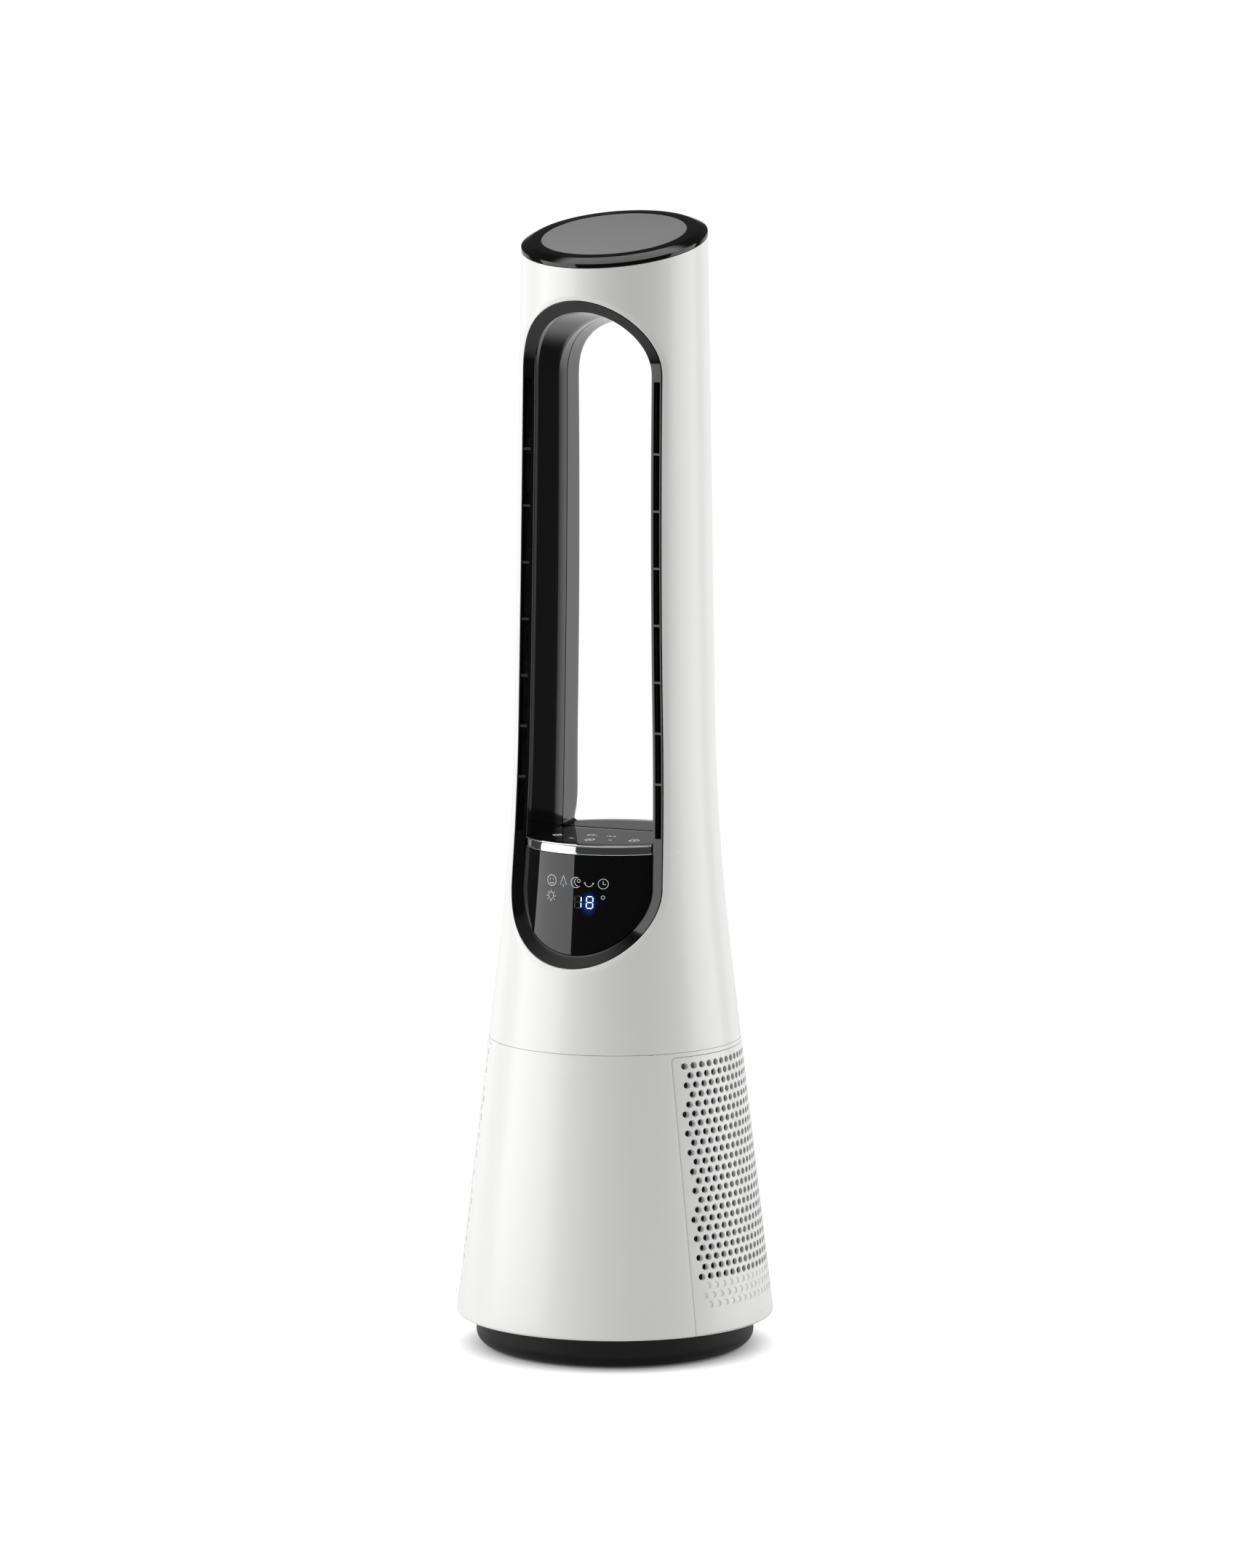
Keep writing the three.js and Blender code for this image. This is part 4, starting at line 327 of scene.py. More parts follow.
def half_boundary(side):
    """Where the front or back half of the casing ends, as (turn, z) matching an opening point for point."""
    share = np.arange(ROUND_STEPS) / ROUND_STEPS
    corners = [0, 0.25, 0.75, 1]
    quarter = math.pi / 2
    low = SEAM_Z + FIT / 2
    foot_turn = np.interp(share, corners, [-quarter, -quarter, quarter, quarter])
    foot_z = np.interp(share, corners, [FOOT_Z, low, low, FOOT_Z])
    arch_turn = -foot_turn
    top = np.full(ROUND_STEPS, float(CROWN_Z))
    for _ in range(6):
        top = CROWN_Z + side * casing_radius(top) * np.cos(arch_turn) * math.tan(CROWN_TILT)
    rise = np.interp(share, corners, [0, 1, 1, 0])
    arch_z = ARCH_Z + (top - ARCH_Z) * rise
    turn = np.concatenate([foot_turn, quarter + 0 * SIDE_Z, arch_turn, -quarter + 0 * SIDE_Z])
    z = np.concatenate([foot_z, SIDE_Z, arch_z, SIDE_Z[::-1]])
    return np.append(turn, turn[0]), np.append(z, z[0])


def grid_faces(rows, columns):
    """Four-cornered faces between the neighbouring points of a grid."""
    index = np.arange(rows * columns).reshape(rows, columns)
    corners = [index[:-1, :-1], index[1:, :-1], index[1:, 1:], index[:-1, 1:]]
    return np.stack(corners, -1).reshape(-1, 4)


def piece(name, points, faces, material, sharp=35):
    """An object from points in mm: doubles merged, faces turned outwards, corners over an angle kept sharp."""
    mesh = bpy.data.meshes.new(name)
    mesh.from_pydata((np.asarray(points) / 1000).tolist(), [], faces)
    form = bmesh.new()
    form.from_mesh(mesh)
    bmesh.ops.remove_doubles(form, verts=form.verts, dist=2e-6)
    bmesh.ops.dissolve_degenerate(form, edges=form.edges, dist=1e-7)
    bmesh.ops.recalc_face_normals(form, faces=form.faces)
    form.to_mesh(mesh)
    form.free()
    mesh.shade_smooth()
    mesh.set_sharp_from_angle(angle=math.radians(sharp))
    mesh.materials.append(material)
    made = bpy.data.objects.new(name, mesh)
    scene.collection.objects.link(made)
    return made


def grid_piece(name, grid, material, sharp=35):
    """A piece from one grid of points that closes on itself."""
    return piece(name, grid.reshape(-1, 3), grid_faces(*grid.shape[:2]).tolist(), material, sharp)


def solid_between(name, walls, material, sharp=35):
    """A closed piece from (front, back, kept) grids: both faces, and a rim wherever no neighbour carries on."""
    fronts, backs, quads, start = [], [], [], 0
    for front, back, *kept in walls:
        faces = grid_faces(*front.shape[:2]) + start
        quads.append(faces[kept[0].ravel()] if kept else faces)
        fronts.append(front.reshape(-1, 3))
        backs.append(back.reshape(-1, 3))
        start += front.shape[0] * front.shape[1]
    fronts, backs, quads = np.concatenate(fronts), np.concatenate(backs), np.concatenate(quads)
    spots = np.unique(np.round(fronts / 0.004 + 0.137).astype(int), axis=0, return_inverse=True)[1].ravel()
    edges = np.stack([quads, np.roll(quads, -1, axis=1)], -1).reshape(-1, 2)
    ends = np.sort(spots[edges], axis=1)
    shared, times = np.unique(ends, axis=0, return_inverse=True, return_counts=True)[1:]
    lone = edges[(times[shared.ravel()] == 1) & (ends[:, 0] != ends[:, 1])]
    rim = np.stack([lone[:, 1], lone[:, 0], lone[:, 0] + start, lone[:, 1] + start], -1)
    faces = np.concatenate([quads, quads[:, ::-1] + start, rim])
    return piece(name, np.concatenate([fronts, backs]), faces.tolist(), material, sharp)


def new_group(name, inputs, outputs):
    """An empty shader node group with its sockets: returns the group, its nodes, its links and both ends."""
    group = bpy.data.node_groups.new(name, "ShaderNodeTree")
    for label, kind, value in inputs:
        group.interface.new_socket(label, in_out="INPUT", socket_type=kind).default_value = value
    for label, kind in outputs:
        group.interface.new_socket(label, in_out="OUTPUT", socket_type=kind)
    ends = [group.nodes.new(kind) for kind in ("NodeGroupInput", "NodeGroupOutput")]
    return group, group.nodes, group.links, *ends


# Effect of moulded plastic: fine grain of the mould, a faint cloudiness of colour, and a gloss that varies
MOULDED, nodes, links, given, made = new_group(
    "moulded_grain",
    [("Colour", "NodeSocketColor", (0.8, 0.8, 0.8, 1)), ("Gloss", "NodeSocketFloat", 0.4),
     ("Drift", "NodeSocketFloat", 0.05), ("Grain Scale", "NodeSocketFloat", 1500.0)],
    [("Colour", "NodeSocketColor"), ("Roughness", "NodeSocketFloat"), ("Height", "NodeSocketFloat")],
)
place = add_node(nodes, "TexCoord")
cloud = add_node(nodes, "TexNoise", {"Scale": 14, "Detail": 4})
grain = add_node(nodes, "TexNoise", {"Detail": 2})
shade = add_node(nodes, "MapRange", {"To Min": 1})
darker = add_node(nodes, "Math", {0: 1}, operation="SUBTRACT")
tinted = add_node(nodes, "VectorMath", operation="SCALE")
gloss = add_node(nodes, "MapRange")
low_gloss = add_node(nodes, "Math", {1: 0.97}, operation="MULTIPLY")
high_gloss = add_node(nodes, "Math", {1: 1.03}, operation="MULTIPLY")
wire(
    links, (place, "Object", cloud, "Vector"), (place, "Object", grain, "Vector"),
    (given, "Grain Scale", grain, "Scale"), (given, "Drift", darker, 1), (cloud, "Fac", shade, "Value"),
    (darker, 0, shade, "To Max"), (given, "Colour", tinted, 0), (shade, "Result", tinted, "Scale"),
    (tinted, 0, made, "Colour"), (given, "Gloss", low_gloss, 0), (given, "Gloss", high_gloss, 0),
    (cloud, "Fac", gloss, "Value"), (low_gloss, 0, gloss, "To Min"), (high_gloss, 0, gloss, "To Max"),
    (gloss, "Result", made, "Roughness"), (grain, "Fac", made, "Height"),
)


def finish(name, effect, values, depth, shader_values=()):
    """A material whose colour, gloss and grain come from an effect group; depth is the grain in metres."""
    material = bpy.data.materials.new(name)
    material.use_nodes = True
    nodes, links = material.node_tree.nodes, material.node_tree.links
    shader = nodes["Principled BSDF"]
    for socket, value in dict(shader_values).items():
        shader.inputs[socket].default_value = value
    source = add_node(nodes, "Group", values, node_tree=effect)
    bump = add_node(nodes, "Bump", {"Distance": depth})
    wire(
        links, (source, "Colour", shader, "Base Color"), (source, "Roughness", shader, "Roughness"),
        (source, "Height", bump, "Height"), (bump, "Normal", shader, "Normal"),
    )
    return material


def moulded(name, colour, roughness, drift=0.04, grain=1500.0, depth=0.00002, shader_values=()):
    """A material with the moulded grain: drift says how cloudy its colour is, grain how fine the grain is."""
    values = {"Colour": (*colour, 1), "Gloss": roughness, "Drift": drift, "Grain Scale": grain}
    return finish(name, MOULDED, values, depth, shader_values)


LIP_OFFSET = [0, 0, 0.1, 0.35, 0.8, 1.6, 2.6, 3.6, 4.3, 5]
LIP_DEPTH = [WALL, 1.6, 1.35, 1.15, 0.98, 0.76, 0.46, 0.17, 0.04, 0]
SHELL_ROWS = 14

WHITE_SATIN = moulded("white_satin_abs", (0.86, 0.86, 0.85), 0.27, drift=0.012, depth=0.000008)


def half_shell(side, edge):
    """Front and back grid of half the casing: rolled lip, then rows that blend from opening to boundary."""
    front, back = [], []
    for offset, depth in zip(LIP_OFFSET, LIP_DEPTH):
        x, z = edge(offset)
        front.append(on_casing(x, z, depth, side))
        back.append(on_casing(x, z, WALL, side))
    edge_turn = np.arcsin(x / casing_radius(z))
    end_turn, end_z = half_boundary(side)
    for share in np.linspace(0, 1, SHELL_ROWS)[1:]:
        turn = edge_turn + (end_turn - edge_turn) * share
        height = z + (end_z - z) * share
        front.append(round_casing(turn, height, 0, side))
        back.append(round_casing(turn, height, WALL, side))
    return np.array(front), np.array(back)


def front_edge(offset):
    """The edge of the front opening, rolled outwards by an offset."""
    return front_opening(-offset)


def rear_edge(offset):
    """The edge of the rear opening, which stands outside the tunnel, rolled outwards by an offset."""
    return tunnel_loop(REAR_Y, REAR_FACE + offset, REAR_SILL + offset, REAR_CORNER + offset)


shell_halves = [half_shell(-1, front_edge), half_shell(1, rear_edge)]
upper_shell = solid_between("upper_shell_white", shell_halves, WHITE_SATIN)
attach(upper_shell, "tower")
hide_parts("upper_shell")

# ---- Lower casing --------------------------------------------------------------------------------
# The white foot of the casing is one ABS moulding with a rounded bottom rim. Each side has a shallow
# pocket, open at the rim, in which a grille cover sits on a seat round the window for the air. Four
# bosses inside take the screws of the turntable.

RIM_FILLET = 3
RIM_DRAW_IN = 2.4
GRILLE_TOP_Z = 252
GRILLE_TOP_HALF = 66.2
GRILLE_SPREAD = 0.042
GRILLE_CORNER = 3
SEAT_DEPTH = 2.95
CASING_DEPTH = 5
WINDOW_INSET = 5
WINDOW_LOW_Z = 69
WINDOW_TOP_Z = 248
WINDOW_CORNER = 2
SIDE_TURN = math.radians(40)
RIM_LEVELS = RIM_Z + np.array([0, 0.12, 0.45, 1, 1.7, 2.4, 3])
CORNER_STEPS = 6
TOP_STEPS = 30
LEVELS_FROM_Z = 36


def rimmed_radius(z, depth=0.0):
    """Casing radius less a depth, drawn in over the rim's fillet by a quarter of an ellipse."""
    up = np.clip((RIM_Z + RIM_FILLET - z) / RIM_FILLET, 0, 1)
    return np.minimum(casing_radius(z) - depth, casing_radius(z) - RIM_DRAW_IN * (1 - np.sqrt(1 - up**2)))


def grille_half(z, inset=0.0):
    """Half the width of a grille, which widens towards the floor in a straight line."""
    return GRILLE_TOP_HALF + GRILLE_SPREAD * (GRILLE_TOP_Z - z) - inset


def grille_arch(levels, inset, top_z, corner):
    """A grille's outline from its front foot over the top to its back foot, as (y, z), with rounded corners."""
    turn = np.linspace(0, math.pi / 2, CORNER_STEPS + 1)[1:]
    half = grille_half(top_z, inset)
    level = np.linspace(corner - half, half - corner, TOP_STEPS + 2)[1:-1]
    y = np.concatenate([
        -grille_half(levels, inset), corner - half - corner * np.cos(turn), level,
        half - corner + corner * np.sin(turn - turn[0]), grille_half(levels[::-1], inset),
    ])
    z = np.concatenate([
        levels, top_z - corner + corner * np.sin(turn), top_z + 0 * level,
        top_z - corner + corner * np.cos(turn - turn[0]), levels[::-1],
    ])
    return y, z


def on_side(y, z, radius, side):
    """Points on the right (side 1) or left (-1) of a round body of a given radius: x = side sqrt(r^2 - y^2)."""
    return np.stack([side * np.sqrt(radius**2 - y**2), y, z], -1)


EDGE_LEVELS = np.concatenate([RIM_LEVELS, np.linspace(LEVELS_FROM_Z, GRILLE_TOP_Z - GRILLE_CORNER, 24)])
WINDOW_LEVELS = np.linspace(WINDOW_LOW_Z + WINDOW_CORNER, WINDOW_TOP_Z - WINDOW_CORNER, len(EDGE_LEVELS))
FACE_ROWS = 6
POCKET_ROWS = [(0.6, 0), (0.35, 0.05), (0.15, 0.2), (0, 0.55), (0, SEAT_DEPTH)]  # (outside the edge, depth)
SEAT_ROWS = 4


def casing_side(side):
    """Front and back grids of one side: from the casing's middle to the pocket, its seat and the window."""
    outside = POCKET_ROWS[0][0]
    y, z = grille_arch(EDGE_LEVELS, -outside, GRILLE_TOP_Z + outside, GRILLE_CORNER + outside)
    turn = np.arccos(-y / rimmed_radius(z))
    columns = len(y)
    rest = columns - 2 * len(EDGE_LEVELS)
    over = np.arange(1, rest + 1) / (rest + 1)
    top_z = SEAM_Z - FIT / 2
    end_turn = np.concatenate([
        SIDE_TURN + 0 * EDGE_LEVELS, np.interp(over, [0.1, 0.9], [SIDE_TURN, math.pi - SIDE_TURN]),
        math.pi - SIDE_TURN + 0 * EDGE_LEVELS,
    ])
    end_z = np.concatenate([
        EDGE_LEVELS, np.interp(over, [0, 0.1, 0.9, 1], [EDGE_LEVELS[-1], top_z, top_z, EDGE_LEVELS[-1]]),
        EDGE_LEVELS[::-1],
    ])
    front, back = [], []
    for share in np.linspace(0, 1, FACE_ROWS, endpoint=False):
        angle = end_turn + (turn - end_turn) * share
        height = end_z + (z - end_z) * share
        for grid, radius in ((front, rimmed_radius(height)), (back, casing_radius(height) - CASING_DEPTH)):
            grid.append(np.stack([side * radius * np.sin(angle), -radius * np.cos(angle), height], -1))
    for outside, depth in POCKET_ROWS:
        y, z = grille_arch(EDGE_LEVELS, -outside, GRILLE_TOP_Z + outside, GRILLE_CORNER + outside)
        front.append(on_side(y, z, rimmed_radius(z, depth), side))
        back.append(on_side(y, z, casing_radius(z) - CASING_DEPTH, side))
    window_y, window_z = grille_arch(WINDOW_LEVELS, WINDOW_INSET, WINDOW_TOP_Z, WINDOW_CORNER)
    for share in np.linspace(0, 1, SEAT_ROWS + 1)[1:]:
        across, height = y + (window_y - y) * share, z + (window_z - z) * share
        front.append(on_side(across, height, casing_radius(height) - SEAT_DEPTH, side))
        back.append(on_side(across, height, casing_radius(height) - CASING_DEPTH, side))
    return np.array(front), np.array(back)


def casing_foot(side):
    """Front and back grids of the seat under the window, down to the rim."""
    low_half = grille_half(RIM_Z)
    turn = np.linspace(0, math.pi / 2, CORNER_STEPS + 1)
    half = grille_half(WINDOW_LOW_Z + WINDOW_CORNER, WINDOW_INSET)
    level = np.linspace(WINDOW_CORNER - half, half - WINDOW_CORNER, TOP_STEPS + 2)[1:-1]
    window_y = np.concatenate([
        WINDOW_CORNER - half - WINDOW_CORNER * np.cos(turn), level,
        half - WINDOW_CORNER + WINDOW_CORNER * np.sin(turn),
    ])
    window_z = np.concatenate([
        WINDOW_LOW_Z + WINDOW_CORNER - WINDOW_CORNER * np.sin(turn), WINDOW_LOW_Z + 0 * level,
        WINDOW_LOW_Z + WINDOW_CORNER - WINDOW_CORNER * np.cos(turn),
    ])
    low_y = np.linspace(-low_half, low_half, len(window_y))
    share = np.linspace(0, 1, SEAT_ROWS + 1)[:, None]
    y = low_y + (window_y - low_y) * share
    z = RIM_Z + (window_z - RIM_Z) * share
    radius = casing_radius(z)
    return on_side(y, z, radius - SEAT_DEPTH, side), on_side(y, z, radius - CASING_DEPTH, side)


def casing_face(middle):
    """Front and back grids of the plain face of the casing round an angle from the front."""
    over = np.arange(1, 5) / 4 * (SEAM_Z - FIT / 2 - EDGE_LEVELS[-1])
    level = np.concatenate([EDGE_LEVELS, EDGE_LEVELS[-1] + over])[:, None]
    turn = middle + np.linspace(-SIDE_TURN, SIDE_TURN, 25)[None, :]
    grids = []
    for radius in (rimmed_radius(level), casing_radius(level) - CASING_DEPTH):
        grids.append(np.stack([radius * np.sin(turn), -radius * np.cos(turn), level + 0 * turn], -1))
    return grids


lower_casing = solid_between("lower_casing_white", [
    casing_face(0), casing_face(math.pi), casing_side(1), casing_side(-1), casing_foot(1), casing_foot(-1),
], WHITE_SATIN)
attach(lower_casing, "tower")
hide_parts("lower_casing")

# ---- Grille covers -------------------------------------------------------------------------------
# Two perforated white ABS panels close the pockets and unclip sideways, so that the filters can be
# changed. Their round holes stand in a brick pattern, and three rows of blind dimples go on below.

HOLE_PITCH = 7.72
HOLE_RADIUS = 2.65
HOLE_BEVEL = 0.35
HOLE_TOP_Z = 244.4
HOLE_ROWS = 24
DIMPLE_ROWS = 2
HOLE_MARGIN = 4.2
HOLE_SIDES = 14
DIMPLE_DEPTH = 0.9
HOLE_SHIFT = 4.76
DIMPLE_TAPER = 0.5
COVER_GAP = 0.3
COVER_EDGE = 0.55
COVER_EDGE_ROWS = [(0.3, 0.06), (0.1, 0.22), (0, 0.55)]  # (inset, depth)
COVER_LEVELS_FROM_Z = 33
FREE_HALF_WIDTH = 72
FREE_LOW_Z = 34.5
FREE_PITCH = 5
MARGIN_INSET = 2.4
MARGIN_LOW_Z = 40
MARGIN_TOP_Z = 246
MARGIN_PITCH = 7.0


def hole_centres():
    """Centres of the holes in brick rows, those that fit between the panel's edges, and each one's row."""
    row = np.arange(HOLE_ROWS + DIMPLE_ROWS)[:, None]
    column = np.arange(-10, 11)[None, :]
    y = HOLE_SHIFT + HOLE_PITCH * (column + 0.5 * (row % 2)) - HOLE_PITCH
    z = HOLE_TOP_Z - HOLE_PITCH * row + 0 * y
    fits = np.abs(y) < grille_half(z) - HOLE_MARGIN - HOLE_RADIUS
    return y[fits], z[fits], (row + 0 * column)[fits]


def cover_outline(inset):
    """The closed outline of a cover as (y, z), drawn in by an inset, its foot left at the rim."""
    high_z = GRILLE_TOP_Z - COVER_GAP - GRILLE_CORNER
    levels = np.concatenate([RIM_LEVELS, np.linspace(COVER_LEVELS_FROM_Z, high_z, 40)])
    y, z = grille_arch(levels, COVER_GAP + inset, GRILLE_TOP_Z - COVER_GAP - inset, GRILLE_CORNER - inset)
    foot = np.linspace(y[-1], y[0], 60)[1:-1]
    return np.append(y, foot), np.append(z, RIM_Z + 0 * foot)


def grille_cover(name, side, colour):
    """A panel: its flat pattern cut into triangles round the holes, laid on the cone, and every edge closed.

    The same flat pattern is the face and the back. Rings join them: bevel and wall for a hole, bevel
    and floor for a dimple, a rounded edge for the outline.
    """
    edge_y, edge_z = cover_outline(COVER_EDGE)
    hole_y, hole_z, row = hole_centres()
    turn = np.arange(HOLE_SIDES) * 2 * math.pi / HOLE_SIDES
    ring_y = hole_y[:, None] + (HOLE_RADIUS + HOLE_BEVEL) * np.cos(turn)
    ring_z = hole_z[:, None] + (HOLE_RADIUS + HOLE_BEVEL) * np.sin(turn)
    free_z = np.concatenate([RIM_LEVELS[1:], np.arange(FREE_LOW_Z, hole_z.min() - 4, FREE_PITCH)])
    free_y = np.linspace(-FREE_HALF_WIDTH, FREE_HALF_WIDTH, 37)
    free_y, free_z = [grid.ravel() for grid in np.meshgrid(free_y, free_z)]
    margin_z = np.arange(MARGIN_LOW_Z, MARGIN_TOP_Z, MARGIN_PITCH)
    margin_y = grille_half(margin_z) - MARGIN_INSET
    flat_y = np.concatenate([edge_y, ring_y.ravel(), free_y, margin_y, -margin_y])
    flat_z = np.concatenate([edge_z, ring_z.ravel(), free_z, margin_z, margin_z])
    count = len(edge_y)
    rings = count + np.arange(ring_y.size).reshape(ring_y.shape)
    loops = [list(range(count))] + [ring[::-1].tolist() for ring in rings]
    flat = [Vector(spot) for spot in np.stack([flat_y, flat_z], -1).tolist()]
    spots, _, faces, source = delaunay_2d_cdt(flat, [], loops, 2, 1e-5)[:4]
    spots = np.array([tuple(spot) for spot in spots])
    found = np.full(len(flat), -1)
    found[np.concatenate(source).astype(int)] = np.repeat(np.arange(len(source)), list(map(len, source)))
    triangles = np.array([face for face in faces if len(face) == 3])
    y, z = spots.T
    total = len(spots)
    points = [on_side(y, z, rimmed_radius(z), side), on_side(y, z, casing_radius(z) - WALL, side)]
    parts = [triangles, triangles[:, ::-1] + total]
    start = 2 * total

    def ring_round(centre_y, centre_z, size, depth):
        across, height = centre_y[:, None] + size * np.cos(turn), centre_z[:, None] + size * np.sin(turn)
        return on_side(across, height, rimmed_radius(height) - depth, side)

    def joined(near, far):
        return np.stack([near, np.roll(near, -1, -1), np.roll(far, -1, -1), far], -1).reshape(-1, 4)

    blind = row >= HOLE_ROWS - 1
    bevel = ring_round(hole_y, hole_z, HOLE_RADIUS, HOLE_BEVEL)
    points.append(bevel.reshape(-1, 3))
    bevel_at = start + np.arange(ring_y.size).reshape(ring_y.shape)
    start += ring_y.size
    face_at = found[rings]
    parts += [joined(face_at, bevel_at), joined(bevel_at[~blind], face_at[~blind] + total)]
    floor_ring = ring_round(hole_y[blind], hole_z[blind], HOLE_RADIUS - DIMPLE_TAPER, DIMPLE_DEPTH)
    points.append(floor_ring.reshape(-1, 3))
    floor_at = start + np.arange(floor_ring[..., 0].size).reshape(floor_ring.shape[:2])
    start += floor_at.size
    parts += [joined(bevel_at[blind], floor_at), floor_at, face_at[blind] + total]
    loop = found[np.arange(count)]
    last = loop
    for inset, depth in COVER_EDGE_ROWS:
        y, z = cover_outline(inset)
        points.append(on_side(y, z, rimmed_radius(z, depth), side))
        now = start + np.arange(count)
        parts.append(joined(last, now))
        last, start = now, start + count
    parts.append(joined(last, loop + total))
    faces = [face for part in parts for face in part.tolist()]
    return piece(name, np.concatenate(points), faces, colour, 30)


for side, label, body in ((-1, "left", "left_cover"), (1, "right", "right_cover")):
    cover = grille_cover(f"grille_cover_{label}_white", side, WHITE_SATIN)
    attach(cover, body)
    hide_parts(f"grille_cover_{label}")

# ---- Filters -------------------------------------------------------------------------------------
# Behind each cover a cartridge keeps the dust out: a grey polypropylene frame that follows the cone,
# and a sheet of pleated dark cloth glued into it.

FILTER_DEPTH = 5.3
FILTER_THICKNESS = 9
FILTER_LOW_Z = 64
FILTER_TOP_Z = 248.4
FILTER_BORDER = 6
PLEATS = 30
PLEAT_DEPTH = 6
CLOTH = 0.6

GREY_PLASTIC = moulded("grey_plastic", (0.105, 0.118, 0.128), 0.5, drift=0.08)
FILTER_CLOTH = moulded("filter_cloth", (0.085, 0.09, 0.095), 0.9, drift=0.7, grain=900, depth=0.0004)


def filter_frame(side):
    """Front and back grids of the frame, from its outer edge to its inner edge, closed at the foot."""
    def border(inset, low_z, top_z):
        levels = np.linspace(low_z, top_z - 2, 30)
        y, z = grille_arch(levels, inset, top_z, 2)
        foot = np.linspace(y[-1], y[0], 30)[1:]
        return np.append(y, foot), np.append(z, low_z + 0 * foot)
    outer = border(FIT, FILTER_LOW_Z, FILTER_TOP_Z)
    inner = border(FILTER_BORDER, FILTER_LOW_Z + FILTER_BORDER, FILTER_TOP_Z - FILTER_BORDER)
    grids = []
    for depth in (FILTER_DEPTH, FILTER_DEPTH + FILTER_THICKNESS):
        rows = [on_side(y, z, casing_radius(z) - depth, side) for y, z in (outer, inner)]
        grids.append(np.array(rows))
    return grids


def filter_media(side):
    """Front and back grids of the cloth: its depth under the casing swings to and fro across the frame."""
    z = np.linspace(FILTER_LOW_Z + FILTER_BORDER + FIT, FILTER_TOP_Z - FILTER_BORDER - FIT, 14)[None, :]
    fold = np.arange(2 * PLEATS + 1)[:, None]
    y = (fold / PLEATS - 1) * grille_half(z, FILTER_BORDER + 0.5)
    depth = FILTER_DEPTH + 0.5 + (fold % 2) * PLEAT_DEPTH
    return [on_side(y, z + 0 * y, casing_radius(z) - depth - paper, side) for paper in (0, CLOTH)]


for side, label in ((-1, "left"), (1, "right")):
    for shape, noun, material, finish_slot in (
        (filter_frame, "frame", GREY_PLASTIC, "grey_plastic"),
        (filter_media, "media", FILTER_CLOTH, "filter_cloth"),
    ):
        part = solid_between(f"filter_{noun}_{label}_shape", [shape(side)], material, 30)
        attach(part, "tower")
        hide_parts(f"filter_{noun}_{label}")

# ---- Standing base -------------------------------------------------------------------------------
# A round black ABS bowl with a satin grain carries everything. It stands on four rubber pads pressed
# into its floor, and three screws hold a steel plate in it as ballast.

PLINTH_RADIUS = 113.6
PLINTH_FOOT = 102
PLINTH_FLOOR_Z = 1.2
PLINTH_TOP_Z = 26.2
PLINTH_FILLET = 11.5
PLINTH_WALL = 3
PLINTH_LIP = 0.8
INLET_WIDTH = 22
INLET_HEIGHT = 12
INLET_DEPTH = 14
INLET_Z = 18
PAD_CIRCLE = 84
PAD_RADIUS = 9
PAD_HEIGHT = 2.6

BLACK_SATIN = moulded(
    "black_satin_abs", (0.0025, 0.0025, 0.0027), 0.42, drift=0.15, shader_values={"Specular IOR Level": 0.32},
)
RUBBER = moulded("black_rubber", (0.014, 0.014, 0.014), 0.85, drift=0.3, grain=700, depth=0.00004)


def turned(radius, z, turn):
    """Grid made by turning a profile about the upright axis: x = r sin a, y = -r cos a."""
    radius, z, turn = np.asarray(radius)[None, :], np.asarray(z)[None, :], np.asarray(turn)[:, None]
    return np.stack([radius * np.sin(turn), -radius * np.cos(turn), z + 0 * turn], -1)


def full_turn(steps):
    """Angles all the way round, with the last on the first."""
    return np.linspace(0, 2 * math.pi, steps + 1)


def dress(material, *names):
    """CAD nodes that stay as they are take a finish."""
    for name in names:
        node = frame["nodes"][name]
        node.data.materials.clear()
        node.data.materials.append(material)


def base_plinth():
    """Outside and inside grids of the bowl, and which cells stay round the hole for the inlet."""
    shoulder_z = PLINTH_FLOOR_Z + PLINTH_FILLET
    low_z, high_z = INLET_Z - INLET_HEIGHT / 2 - FIT, INLET_Z + INLET_HEIGHT / 2 + FIT
    level = math.acos((shoulder_z - low_z) / PLINTH_FILLET)
    bulge = np.append(np.linspace(0, level, 10), math.pi / 2)
    inner = PLINTH_RADIUS - PLINTH_WALL
    grow = PLINTH_RADIUS - PLINTH_FOOT
    radius = np.concatenate([
        [0, 50, 98], PLINTH_FOOT + grow * np.sin(bulge), [PLINTH_RADIUS] * 3,
        [PLINTH_RADIUS - 0.25, PLINTH_RADIUS - PLINTH_LIP],
    ])
    z = np.concatenate([
        [PLINTH_FLOOR_Z] * 3, shoulder_z - PLINTH_FILLET * np.cos(bulge),
        [INLET_Z, high_z, PLINTH_TOP_Z - PLINTH_LIP, PLINTH_TOP_Z - 0.25, PLINTH_TOP_Z],
    ])
    inside_radius = np.concatenate([
        [0, 50, 97], PLINTH_FOOT - 1 + (inner - PLINTH_FOOT + 1) * np.sin(bulge), [inner] * 5,
    ])
    inside_z = np.concatenate([
        [PLINTH_FLOOR_Z + PLINTH_WALL] * 3, shoulder_z - (PLINTH_FILLET - PLINTH_WALL) * np.cos(bulge),
        z[-5:-2], [PLINTH_TOP_Z - 0.4, PLINTH_TOP_Z],
    ])
    reach = math.asin((INLET_WIDTH / 2 + FIT) / PLINTH_RADIUS)
    turn = np.concatenate([
        np.linspace(reach - math.pi, math.pi - reach, 145), math.pi + np.linspace(-reach, reach, 7)[1:],
    ])
    front, back = turned(radius, z, turn), turned(inside_radius, inside_z, turn)
    high_enough = ((z[1:] + z[:-1]) / 2 > low_z) & ((z[1:] + z[:-1]) / 2 < high_z)
    at_back = (turn[1:] + turn[:-1]) / 2 > math.pi - reach
    return front, back, ~(at_back[:, None] & high_enough[None, :])


